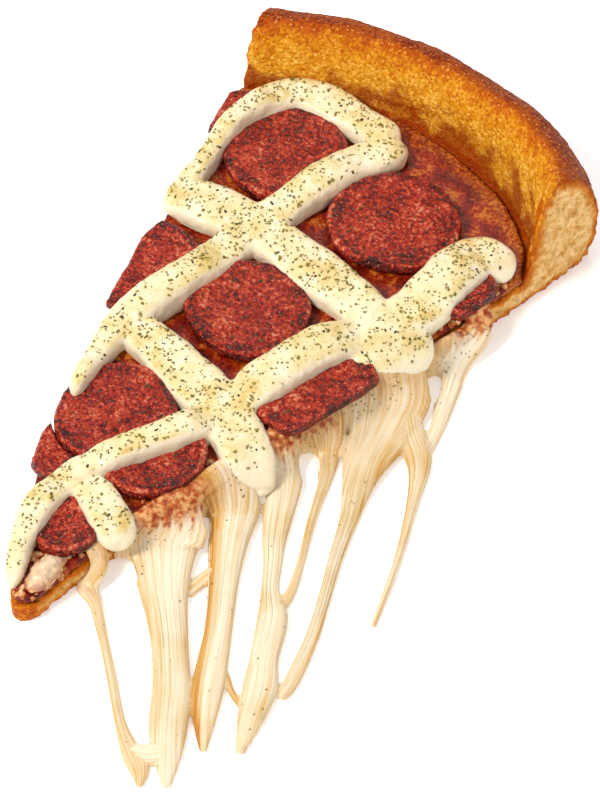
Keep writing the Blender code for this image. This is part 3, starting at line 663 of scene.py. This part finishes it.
def cream_cheese():
    """Melted herbed cream cheese: soft, pale and slightly see-into, yellow with herb oil on top."""
    material, tree, shader, spot = new_material("herbed_cream_cheese")
    herb = add(tree, "ShaderNodeAttribute", attribute_name="herb").outputs["Fac"]
    blotch = add(tree, "ShaderNodeTexNoise", {"Vector": spot, "Scale": 1 / 4.5, "Detail": 4})
    oily = add(tree, "ShaderNodeMapRange", {"Value": blotch, "From Min": 0.3, "From Max": 0.75})
    amount = add(tree, "ShaderNodeMath", {0: oily, 1: herb}, operation="MULTIPLY")
    ramp = add(
        tree, "ShaderNodeValToRGB", {"Fac": amount},
        stops=((0, "#efe2c4"), (0.3, "#e5d3a2"), (0.65, "#dbc280"), (1, "#ccab55")),
    )
    # Fine herb dust, too small to be pieces of its own
    dust = add(tree, "ShaderNodeTexVoronoi", {"Vector": spot, "Scale": 1 / 1.2})
    specks = add(
        tree, "ShaderNodeMapRange", {"Value": dust, "From Min": 0.18, "From Max": 0.1, "To Max": 0.55}
    )
    dusted = add(tree, "ShaderNodeMath", {0: specks, 1: herb}, operation="MULTIPLY")
    mixed = add(
        tree, "ShaderNodeMix", {"Factor": dusted, "A": ramp, "B": colour("#8d7c34")}, data_type="RGBA"
    )
    soft = add(tree, "ShaderNodeTexNoise", {"Vector": spot, "Scale": 1 / 1.6, "Detail": 3})
    bump = add(tree, "ShaderNodeBump", {"Height": soft, "Strength": 0.6, "Distance": 0.5 * MM})
    connect(tree, shader, {
        "Base Color": mixed, "Normal": bump, "Roughness": 0.24, "Specular IOR Level": 0.4,
        "Subsurface Weight": 0.4, "Subsurface Radius": (1, 0.7, 0.4), "Subsurface Scale": 1.5 * MM,
    })
    return material


def pulled_mozzarella():
    """Stretched hot mozzarella: glossy milky fibres, with orange oil between them and at the roots."""
    material, tree, shader, spot = new_material("pulled_mozzarella")
    across, along, oil, root = (
        add(tree, "ShaderNodeAttribute", attribute_name=name).outputs["Fac"]
        for name in ("across", "along", "oil", "root")
    )
    flow = add(tree, "ShaderNodeCombineXYZ", {"X": across, "Y": along})
    stretched = add(tree, "ShaderNodeVectorMath", {0: flow, 1: (1 / 0.75, 1 / 30, 1)}, operation="MULTIPLY")
    streak = add(tree, "ShaderNodeTexNoise", {"Vector": stretched, "Scale": 1, "Detail": 3, "Roughness": 0.6})
    pools = add(tree, "ShaderNodeTexNoise", {"Vector": spot, "Scale": 1 / 16, "Detail": 2})
    patchy = add(tree, "ShaderNodeMapRange", {"Value": pools, "From Min": 0.5, "From Max": 0.72})
    oily = add(tree, "ShaderNodeMath", {0: patchy, 1: 0.2, 2: oil}, operation="MULTIPLY_ADD")
    level = add(tree, "ShaderNodeMath", {0: oily, 1: 0.7, 2: streak}, operation="MULTIPLY_ADD")
    ramp = add(
        tree, "ShaderNodeValToRGB", {"Fac": level},
        stops=((0.3, "#f1e6d2"), (0.5, "#e5d5b8"), (0.68, "#dabf94"), (0.85, "#cda259"), (1, "#b97c34")),
    )
    # At the cut the cheese has browned a little in sauce and sausage fat
    crumbs = add(tree, "ShaderNodeTexNoise", {"Vector": spot, "Scale": 1 / 1.6, "Detail": 4})
    browned = add(
        tree, "ShaderNodeValToRGB", {"Fac": crumbs},
        stops=((0.35, "#8f2f0c"), (0.48, "#b85f24"), (0.6, "#d8a468")),
    )
    mixed = add(tree, "ShaderNodeMix", {"Factor": root, "A": ramp, "B": browned}, data_type="RGBA")
    bump = add(tree, "ShaderNodeBump", {"Height": streak, "Strength": 0.15, "Distance": 0.5 * MM})
    connect(tree, shader, {
        "Base Color": mixed, "Normal": bump, "Roughness": 0.3, "Specular IOR Level": 0.4,
        "Subsurface Weight": 0.4, "Subsurface Radius": (1, 0.75, 0.5), "Subsurface Scale": 0.8 * MM,
    })
    return material


def browned_cheese():
    """Crumbs of melted cheese that took up orange fat: soft and matt, cream to orange."""
    material, tree, shader, spot = new_material("browned_mozzarella")
    tone = add(tree, "ShaderNodeTexNoise", {"Vector": spot, "Scale": 1 / 2.5, "Detail": 3})
    ramp = add(
        tree, "ShaderNodeValToRGB", {"Fac": tone},
        stops=((0.38, "#a34a1c"), (0.5, "#c98348"), (0.62, "#deb488")),
    )
    connect(tree, shader, {"Base Color": ramp, "Roughness": 0.4, "Specular IOR Level": 0.35})
    return material


def dried_herb(name, pale, dark):
    """Rubbed dried oregano and basil: thin curled leaf flakes, matt and olive to nearly black."""
    material, tree, shader, spot = new_material(name)
    tone = add(tree, "ShaderNodeTexNoise", {"Vector": spot, "Scale": 1 / 1.5, "Detail": 2})
    ramp = add(tree, "ShaderNodeValToRGB", {"Fac": tone}, stops=((0.35, dark), (0.65, pale)))
    connect(tree, shader, {"Base Color": ramp, "Roughness": 0.75})
    return material


def white_table():
    """A matt white acrylic board that is lit a little from below, so that shadows on it stay faint."""
    material, tree, shader, spot = new_material("lit_white_acrylic")
    tone = add(tree, "ShaderNodeTexNoise", {"Vector": spot, "Scale": 1 / 60, "Detail": 2})
    ramp = add(tree, "ShaderNodeValToRGB", {"Fac": tone}, stops=((0, "#fbfbfb"), (1, "#ffffff")))
    connect(tree, shader, {
        "Base Color": ramp, "Emission Color": colour("#ffffff"), "Emission Strength": 0.3, "Roughness": 0.9,
        "Specular IOR Level": 0.1,
    })
    return material


# Pieces


def finish_piece(obj, material, slot, *nodes):
    """Gives a piece its finish and its place in the frame."""
    obj.data.materials.clear()
    obj.data.materials.append(material)
    obj.data.shade_smooth()
    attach(obj, "root")
    if nodes:
        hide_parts(*nodes)
    return obj


def make_crust():
    """The base and rim, with baked skin above and below and open crumb at the cuts."""
    cad = frame["nodes"]["crust"].data
    corners = places(cad)
    facing = [Vector(p.normal) for p in cad.polygons]
    faces = [tuple(p.vertices) for p in cad.polygons]
    is_cut = [abs(n.x) > 0.85 and abs(n.z) < 0.3 for n in facing]
    cuts = BVHTree.FromPolygons(corners.tolist(), [f for f, cut in zip(faces, is_cut) if cut])
    skins = BVHTree.FromPolygons(corners.tolist(), [f for f, cut in zip(faces, is_cut) if not cut])
    obj = dense_copy("crust", "crust_baked", CRUST_GRID, 3)
    where = places(obj.data)
    normal = normals(obj.data)
    to_cut = np.array([cuts.find_nearest(p)[3] for p in where.tolist()])
    to_skin = np.array([skins.find_nearest(p)[3] for p in where.tolist()])
    crumb = smooth_step(1.1, 0.5, to_cut) * smooth_step(0.35, 0.7, np.abs(normal[:, 0]))
    past_foot = past_rim_foot(where)
    inside = smooth_step(2, 11.5, past_foot)
    outside = smooth_step(0.5, 9, where[:, 2])
    bake = np.where(past_foot > 12, 0.25 + 0.55 * outside, 0.1 + 0.7 * inside)
    bake = np.where((past_foot < 1) | (where[:, 2] < 2), 0.45, bake)
    stain = smooth_step(6, 0, past_foot) * smooth_step(-3, 0, past_foot)
    # The flat underside stays flat, so that the slice rests as it should
    free = smooth_step(0.2, 2.5, where[:, 2])
    skin_depth = np.clip(to_skin / 6, 0, 1)
    write_attributes(obj, crumb=crumb, skin_depth=skin_depth, bake=bake, stain=stain * 0.75, is_free=free)
    relief(obj, (
        ("blisters", 5, 0.4, "is_free"),
        ("semolina", 1.3, 0.22, "is_free"),
        ("crumb pores", 2.0, 0.9, "crumb", 1, 1, 1.6),
    ))
    return finish_piece(obj, baked_crust(), "crust", "crust")


def make_sauce():
    obj = dense_copy("sauce", "sauce_layer", SAUCE_GRID, 2)
    write_attributes(obj, thin=smooth_step(-13, 0, past_rim_foot(places(obj.data))))
    relief(obj, (("lumps", 4, 0.35, None), ("pulp", 1.6, 0.2, None)))
    return finish_piece(obj, oily_sauce(), "sauce", "sauce")


def gather_shapes(kind, shapes):
    """Puts small closed shapes in a collection of their own, ready to be scattered."""
    collection = bpy.data.collections.new(kind)
    bpy.context.scene.collection.children.link(collection)
    for number, bm in enumerate(shapes):
        mesh = new_mesh(f"{kind}_{number}", bm)
        collection.objects.link(bpy.data.objects.new(mesh.name, mesh))
    return collection


def lump_shapes(flatness, count, draw):
    """A few uneven lumps about two millimetres across."""
    for _ in range(count):
        bm = bmesh.new()
        bmesh.ops.create_icosphere(bm, subdivisions=2, radius=MM)
        turns = draw.uniform(0, 6, 3)
        for vertex in bm.verts:
            x, y, z = vertex.co / MM
            radius = 1 + 0.25 * math.sin(2.6 * x + turns[0]) + 0.25 * math.sin(3.1 * y + turns[1] + 2 * z)
            vertex.co = Vector((x * radius, y * radius, z * flatness)) * MM
        yield bm


def remove_shapes(collection):
    for shape in list(collection.objects):
        bpy.data.objects.remove(shape)
    bpy.data.collections.remove(collection)


def make_crumbs(tree, sauce):
    """Melted crumbs of cheese near the tip and the right cut."""
    draw = np.random.default_rng(21)
    where = places(sauce.data)
    up = smooth_step(0.5, 0.8, normals(sauce.data)[:, 2])
    cut, _ = smooth_path(RIGHT_CUT, 1.0)
    to_cut = np.interp(where[:, 1], cut[:, 1], cut[:, 0]) - where[:, 0]
    near_cut = smooth_step(9, 2, to_cut) * (where[:, 1] < 146)
    near_tip = smooth_step(24, 10, where[:, 1])
    write_attributes(sauce, crumbs=up * np.maximum(0.6 * near_cut, near_tip))
    lumps = gather_shapes("cheese_crumb", lump_shapes(flatness=0.7, count=4, draw=draw))
    scatter(
        tree, "cheese_crumbs", "crumbs", sauce, lumps, browned_cheese(), "mozzarella",
        density=0.7, smallest=0.3, largest=1.0, seed=6, sink=-0.15,
    )
    remove_shapes(lumps)


def make_sausages():
    material = cured_sausage()
    slices = []
    for number, ((x, y), diameter) in enumerate(SAUSAGES, 1):
        node = f"sausage_{number}"
        obj = dense_copy(node, f"sausage_slice_{number}", SAUSAGE_GRID, 2)
        where = places(obj.data)
        past_edge = np.hypot(where[:, 0] - x, where[:, 1] - y) - diameter / 2
        up = normals(obj.data)[:, 2]
        # A dark ring inside the lip; a lighter lip, partly the casing's own tone and partly a painted
        # highlight; and painted shade on the steep sides
        ring = smooth_step(-3.4, -1.8, past_edge) - 1.6 * smooth_step(-1.5, -0.8, past_edge)
        near_lip = smooth_step(-8, -2, past_edge)
        herb = smooth_step(0.6, 0.9, up) * (0.35 + 0.65 * near_lip)
        write_attributes(obj, rim=np.where(up < 0.45, 1, ring), herb=herb)
        relief(obj, (("dimples", 5, 0.3, None), ("mince", 1.1, 0.2, None)))
        slices.append(finish_piece(obj, material, "sausage", node))
    return slices


def make_strip(name, points, draw):
    """One strip of cheese, laid over sauce and sausage, with a flat top and softly pleated sides."""
    path, lengths = smooth_path(points, 0.9)
    x, y, drop, half_width = path.T
    low = sauce_top(y) - STRIP_SINK
    high = sauce_top(y) + STRIP_HEIGHT + STRIP_RISE * covered(x, y)
    middle = low + STRIP_MIDDLE * (high - low)
    end = blunt(lengths, half_width.mean())
    thickness = 1 - STRIP_THINNING * smooth_step(1, 9, drop)
    rise, fall = (high - middle) * end * thickness, (middle - low) * end * thickness
    uneven = 0.04 * waves(draw, 1, lengths, 17)[:, 0] + 0.012 * waves(draw, 1, lengths, 3.6)[:, 0]
    centres = np.column_stack((x, y, np.maximum(middle - drop, STRIP_LOWEST)))
    return sweep(
        name, centres, half_width * (1 + uneven) * end, rise, fall, 32, squareness=STRIP_SQUARENESS
    )


def make_lattice():
    draw = np.random.default_rng(4)
    strips = [make_strip(name, points, draw) for name, points in STRIPS.items()]
    obj = even_mesh(join("cream_cheese_lattice", strips), STRIP_GRID, 6)
    up = smooth_step(0.55, 0.9, normals(obj.data)[:, 2])
    patches = patchiness(places(obj.data)[:, :2], 7)
    write_attributes(obj, herb=up * (0.45 + 0.55 * patches))
    relief(obj, (("waviness", 9, 0.35, None), ("dimples", 2.6, 0.16, None), ("pits", 1.2, 0.05, "herb")))
    return finish_piece(obj, cream_cheese(), "cream_cheese", "lattice")


def cut_edge(y):
    """The right cut's point at this distance from the tip, and the way out from it."""
    cut, _ = smooth_path(RIGHT_CUT, 1.0)
    heading = cut[round(0.6 * len(cut))] - cut[round(0.4 * len(cut))]
    outward = np.array((heading[1], -heading[0])) / np.linalg.norm(heading)
    return np.array((np.interp(y, cut[:, 1], cut[:, 0]), y)), outward


def strand_path(root_y, root_width, points):
    """A strand's route: from the sauce over the cut, down its face and away along the table."""
    edge, outward = cut_edge(root_y)
    start = edge - outward * ROOT_INSIDE
    over = edge + outward * ROOT_OVER
    down = edge + 0.25 * (np.array(points[0][:2]) - edge) + outward * ROOT_DOWN
    route = [
        (*start, sauce_top(root_y) - 0.2, root_width),
        (*over, sauce_top(root_y) - 1.0, root_width),
        (*down, ROOT_DOWN_HEIGHT, (2 * root_width + points[0][2]) / 3),
    ]
    route += [(x, y, 0, width) for x, y, width in points]
    return smooth_path(route, 0.9)


def make_curtain(draw):
    """A soft wall of cheese from the top of the sauce down the cut to the table, in shallow folds."""
    path, lengths = smooth_path(CURTAIN, 0.8)
    edges = np.array([cut_edge(y)[0] + cut_edge(y)[1] * CURTAIN_OUT for y in path[:, 0]])
    rises = sauce_top(path[:, 0]) + CURTAIN_OVER - CURTAIN_WIDEST
    end = blunt(lengths, 5)
    folds = 1 + 0.1 * waves(draw, 1, lengths, 6)[:, 0]
    centres = np.column_stack((edges, np.full(len(path), CURTAIN_WIDEST)))
    falls = np.full(len(path), CURTAIN_WIDEST)
    return sweep("curtain", centres, path[:, 1] * folds * end, rises * end, falls * end, 32), centres


def make_strand(name, path, lengths, draw):
    """One flat strand with fibres that run along it, and its centre line."""
    widths = np.maximum(path[:, 3], 1)
    thickness = np.clip(STRAND_FLATNESS * widths, THINNEST, THICKEST)
    centres = np.column_stack((path[:, :2], np.maximum(path[:, 2], 0) + thickness / 2))
    sides = 40
    fibres = 0.06 * waves(draw, sides, lengths, 46) * np.minimum(1, thickness / 2)[:, None]
    obj = sweep(name, centres, widths / 2, thickness / 2, thickness / 2, sides, squareness=2.2, skin=fibres)
    return obj, centres, widths


def make_pull():
    draw = np.random.default_rng(12)
    routes = {name: strand_path(*facts) for name, facts in STRANDS.items()}
    for number, points in enumerate(CROSS_STRANDS):
        routes[f"cross_{number}"] = smooth_path([(x, y, 0, width) for x, y, width in points], 0.9)
    curtain, wall = make_curtain(draw)
    shapes, lines = [curtain], []
    for name, (path, lengths) in routes.items():
        obj, centres, widths = make_strand(name, path, lengths, draw)
        shapes.append(obj)
        lines.append((name, centres, widths, lengths))
    obj = even_mesh(join("mozzarella_pull", shapes), PULL_GRID, 3)
    where = places(obj.data)
    out = distance_in_plan(where, wall)
    write_attributes(obj, near_cut=smooth_step(9, 4, out))
    melt(obj, "near_cut", PULL_MELT_ROUNDS)
    where = places(obj.data)
    pull_across = np.array((math.cos(VIEW_TURN), math.sin(VIEW_TURN)))
    nearest = np.full(len(where), 1e9)
    across, along, oil = (np.zeros(len(where)) for _ in range(3))
    for name, centres, widths, lengths in lines:
        gaps = ((where**2).sum(1)[:, None] + (centres**2).sum(1)[None] - 2 * where @ centres.T).clip(0)
        closest = gaps.argmin(1)
        share = np.sqrt(gaps[np.arange(len(where)), closest]) / (widths[closest] / 2)
        heading = np.gradient(centres, axis=0)
        side = np.column_stack((-heading[:, 1], heading[:, 0]))
        side = side / np.linalg.norm(heading[:, :2], axis=1)[:, None]
        offset = ((where[:, :2] - centres[closest, :2]) * side[closest]).sum(1)
        # The fibres gather where a strand narrows, and line up with the curtain's at its root
        gathered = offset * np.clip(widths[0] / widths[closest], 1, 2)
        mine = share < nearest
        nearest[mine] = share[mine]
        across[mine] = (gathered + centres[0, :2] @ pull_across)[mine]
        along[mine] = lengths[closest][mine]
        thin = smooth_step(6, 2, np.median(widths))
        edge = smooth_step(0.6, 1.0, np.abs(offset) / (widths[closest] / 2))
        left, right = OILY_SIDES.get(name, (0, 0))
        sides = np.where(offset < 0, left, right) * smooth_step(0, 0.4, np.abs(offset) / widths[closest])
        oil[mine] = np.maximum(np.maximum(0.35 * thin, 0.25 * edge), sides)[mine]
    on_wall = (nearest > 1.05) & (out < 6)
    across[on_wall] = where[on_wall, :2] @ pull_across
    along[on_wall] = 8 - where[on_wall, 2]
    height = where[:, 2] + 0.8 * np.sin(1.9 * across) + 0.6 * np.sin(4.3 * across + 1)
    crumbly = sum(smooth_step(low - 2, low + 2, where[:, 1]) * smooth_step(high + 2, high - 2, where[:, 1])
                  for low, high in BROWNED)
    root = smooth_step(5.6, 8.0, height) * (0.2 + 0.8 * crumbly)
    herb = smooth_step(9, 1, out) * 0.7 + 0.06
    write_attributes(obj, across=across, along=along, oil=oil, root=root, herb=herb)
    relief(obj, (("crumbs", 1.5, 0.4, "root"),))
    # What would dip below the table is laid flat on it
    co = np.empty(len(obj.data.vertices) * 3, np.float32)
    obj.data.vertices.foreach_get("co", co)
    co[2::3] = np.maximum(co[2::3], 0)
    obj.data.vertices.foreach_set("co", co)
    mozzarella = pulled_mozzarella()
    make_threads(lines, mozzarella, draw)
    return finish_piece(obj, mozzarella, "mozzarella", "cheese_pull")


def make_threads(lines, mozzarella, draw):
    """Fine threads that stand proud along the strands."""
    threads = []
    for name, centres, widths, lengths in lines:
        if len(centres) < 40:
            continue
        heading = np.gradient(centres, axis=0)
        side = np.column_stack((-heading[:, 1], heading[:, 0], np.zeros(len(centres))))
        side /= np.linalg.norm(side, axis=1)[:, None]
        thickness = np.clip(STRAND_FLATNESS * widths, THINNEST, THICKEST)
        for share in np.arange(-0.42, 0.43, 0.84 / max(1, round(widths[12] * 0.3))):
            share += draw.uniform(-0.04, 0.04)
            first = draw.integers(6, 20)
            last = len(centres) - draw.integers(1, len(centres) // 2)
            if last - first < 16:
                continue
            lift = np.sqrt(1 - (2 * share) ** 2) * thickness / 2 - 0.1
            line = centres + side * (share * widths)[:, None]
            line[:, 2] += lift
            line = line[first:last:2]
            along = lengths[first:last:2]
            radius = draw.uniform(0.12, 0.22) * blunt(along - along[0], 14)
            thread = sweep(name, line, radius, radius, radius, 6)
            across, oil = (np.full(len(thread.data.vertices), draw.uniform(0, most)) for most in (60, 0.3))
            write_attributes(thread, across=across, along=np.repeat(along, 6), oil=oil)
            threads.append(thread)
    return finish_piece(join("mozzarella_threads", threads), mozzarella, "mozzarella")


def make_tip_cheese():
    obj = dense_copy("tip_cheese", "tip_mozzarella", PULL_GRID, 3)
    relief(obj, (("lumps", 2.5, 0.22, None), ("crumbs", 1.1, 0.4, None)))
    write_attributes(obj, root=0.35 + 0.55 * smooth_step(10.5, 8, places(obj.data)[:, 2]))
    return finish_piece(obj, pulled_mozzarella(), "mozzarella", "tip_cheese")


def flake_shapes(size, count, draw):
    """A few small curled leaf flakes, about the given size across."""
    corners = 6
    for _ in range(count):
        bm = bmesh.new()
        slimness = draw.uniform(0.2, 0.7)
        rim = []
        for k in range(corners):
            angle = 2 * math.pi * k / corners
            radius = size / 2 * draw.uniform(0.7, 1.15)
            x, y = radius * math.cos(angle), radius * math.sin(angle) * slimness
            rim.append((x, y, 0.12 * x * x / size))
        layers = [[bm.verts.new(Vector((x, y, z + lift)) * MM) for x, y, z in rim] for lift in (-0.05, 0.06)]
        bm.faces.new(layers[0][::-1])
        bm.faces.new(layers[1])
        for k in range(corners):
            bm.faces.new((layers[0][k - 1], layers[0][k], layers[1][k], layers[1][k - 1]))
        bmesh.ops.recalc_face_normals(bm, faces=bm.faces)
        yield bm


def scatter_tree(name):
    """Spreads instances of a collection's pieces over a surface, where an attribute allows."""
    tree, given = new_tree(name, (
        ("Surface", "Geometry"), ("Where", "String"), ("Pieces", "Collection"), ("Material", "Material"),
        ("Density", "Float"), ("Smallest", "Float"), ("Largest", "Float"), ("Sink", "Float"), ("Seed", "Int"),
    ), "Scattered")
    where = add(tree, "GeometryNodeInputNamedAttribute", {"Name": given["Where"]}, data_type="FLOAT")
    density = add(tree, "ShaderNodeMath", {0: given["Density"], 1: where}, operation="MULTIPLY")
    points = add(
        tree, "GeometryNodeDistributePointsOnFaces",
        {"Mesh": given["Surface"], "Density": density, "Seed": given["Seed"]},
    ).outputs
    pieces = add(
        tree, "GeometryNodeCollectionInfo", {"Collection": given["Pieces"], "Separate Children": True}
    )
    spin = add(
        tree, "FunctionNodeRandomValue", {0: (-0.5, -0.5, 0), 1: (0.5, 0.5, 6.28), "Seed": given["Seed"]},
        data_type="FLOAT_VECTOR",
    )
    turned = add(
        tree, "FunctionNodeRotateRotation", {"Rotation": points["Rotation"], "Rotate By": spin},
        rotation_space="LOCAL",
    )
    size = add(
        tree, "FunctionNodeRandomValue", {2: given["Smallest"], 3: given["Largest"], "Seed": given["Seed"]},
        data_type="FLOAT",
    )
    placed = add(
        tree, "GeometryNodeInstanceOnPoints",
        {"Points": points["Points"], "Instance": pieces, "Pick Instance": True, "Rotation": turned,
         "Scale": size},
    )
    down = add(tree, "ShaderNodeCombineXYZ", {"Z": given["Sink"]})
    sunk = add(
        tree, "GeometryNodeTranslateInstances",
        {"Instances": placed, "Translation": down, "Local Space": True},
    )
    real = add(tree, "GeometryNodeRealizeInstances", {"Geometry": sunk})
    coated = add(tree, "GeometryNodeSetMaterial", {"Geometry": real, "Material": given["Material"]})
    add(tree, "NodeGroupOutput", {"Scattered": coated})
    return tree


def scatter(tree, name, mask, surface, pieces, material, slot, density, smallest, largest, seed, sink=0.0):
    """One piece with all of a kind that lies where a mask allows. Density is per square millimetre."""
    obj = new_object(name, surface.data.copy())
    apply_tree(obj, tree, {
        "Where": mask, "Pieces": pieces, "Material": material, "Density": density / MM**2,
        "Smallest": smallest, "Largest": largest, "Sink": sink * MM, "Seed": seed,
    })
    return finish_piece(obj, material, slot)


def make_herbs(tree, lattice, pull, slices):
    draw = np.random.default_rng(9)
    flakes = gather_shapes("herb_flake", flake_shapes(size=1.0, count=6, draw=draw))
    olive = dried_herb("rubbed_oregano_olive", "#a3923f", "#62591b")
    dark = dried_herb("rubbed_oregano_dark", "#4a441a", "#221f0b")
    bare = [new_object(f"{piece.name}_bare", piece.data.copy()) for piece in slices]
    tops = join("sausage_tops", bare)
    for name, surface, herb, slot, density, smallest, largest, seed in (
        ("herbs_olive", lattice, olive, "cream_cheese", 0.8, 0.25, 1.2, 3),
        ("herbs_dark", lattice, dark, "cream_cheese", 0.07, 0.3, 1.2, 8),
        ("herbs_on_pull", pull, olive, "mozzarella", 0.3, 0.25, 0.8, 6),
        ("herbs_on_sausage", tops, dark, "sausage", 0.16, 0.3, 1.3, 5),
    ):
        scatter(tree, name, "herb", surface, flakes, herb, slot, density, smallest, largest, seed)
    bpy.data.objects.remove(tops)
    remove_shapes(flakes)


# Surroundings


def make_floor():
    bm = bmesh.new()
    bmesh.ops.create_grid(bm, x_segments=2, y_segments=2, size=6)
    floor = new_object("floor", new_mesh("floor", bm))
    floor.data.materials.append(white_table())
    floor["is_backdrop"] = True


def make_light(name, place, energy, size, tint):
    light = bpy.data.lights.new(name, "AREA")
    light.energy = energy
    light.shape = "DISK"
    light.size = size
    light.color = colour(tint)[:3]
    obj = new_object(name, light)
    obj.location = place
    obj.rotation_euler = (-Vector(place)).to_track_quat("-Z", "Y").to_euler()
    obj.visible_camera = False


def make_studio():
    """Soft light from all round, with a key from the front left."""
    make_light("key", (-0.3, -0.6, 0.9), 10.5, 0.35, "#fffaf2")
    make_light("back", (-0.4, 0.6, 0.8), 3, 0.6, "#ffffff")
    make_light("side", (0.7, -0.35, 0.5), 1.0, 0.5, "#ffffff")
    world = bpy.data.worlds.new("studio")
    world.use_nodes = True
    world.node_tree.nodes.clear()
    background = add(world.node_tree, "ShaderNodeBackground", {"Color": colour("#ffffff"), "Strength": 0.5})
    add(world.node_tree, "ShaderNodeOutputWorld", {"Surface": background})
    bpy.context.scene.world = world
    bpy.context.scene.view_settings.view_transform = "Standard"


def make_camera():
    camera = bpy.data.cameras.new("camera")
    camera.lens = LENS
    camera.clip_end = 20
    obj = new_object("camera", camera)
    back = Vector((
        math.sin(VIEW_TURN) * math.cos(VIEW_HEIGHT),
        -math.cos(VIEW_TURN) * math.cos(VIEW_HEIGHT),
        math.sin(VIEW_HEIGHT),
    ))
    obj.location = (Vector(VIEW_TARGET) + back * VIEW_DISTANCE) * MM
    obj.rotation_euler = (-back).to_track_quat("-Z", "Y").to_euler()
    bpy.context.scene.camera = obj


make_camera()
make_studio()
make_floor()
make_crust()
sauce = make_sauce()
slices = make_sausages()
lattice = make_lattice()
pull = make_pull()
make_tip_cheese()
scattering = scatter_tree("scattering")
make_crumbs(scattering, sauce)
make_herbs(scattering, lattice, pull, slices)

bpy.context.view_layer.update()
({name: [list(corner) for corner in box] for name, box in
           (("cad", cad_box), ("visual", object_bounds()))})
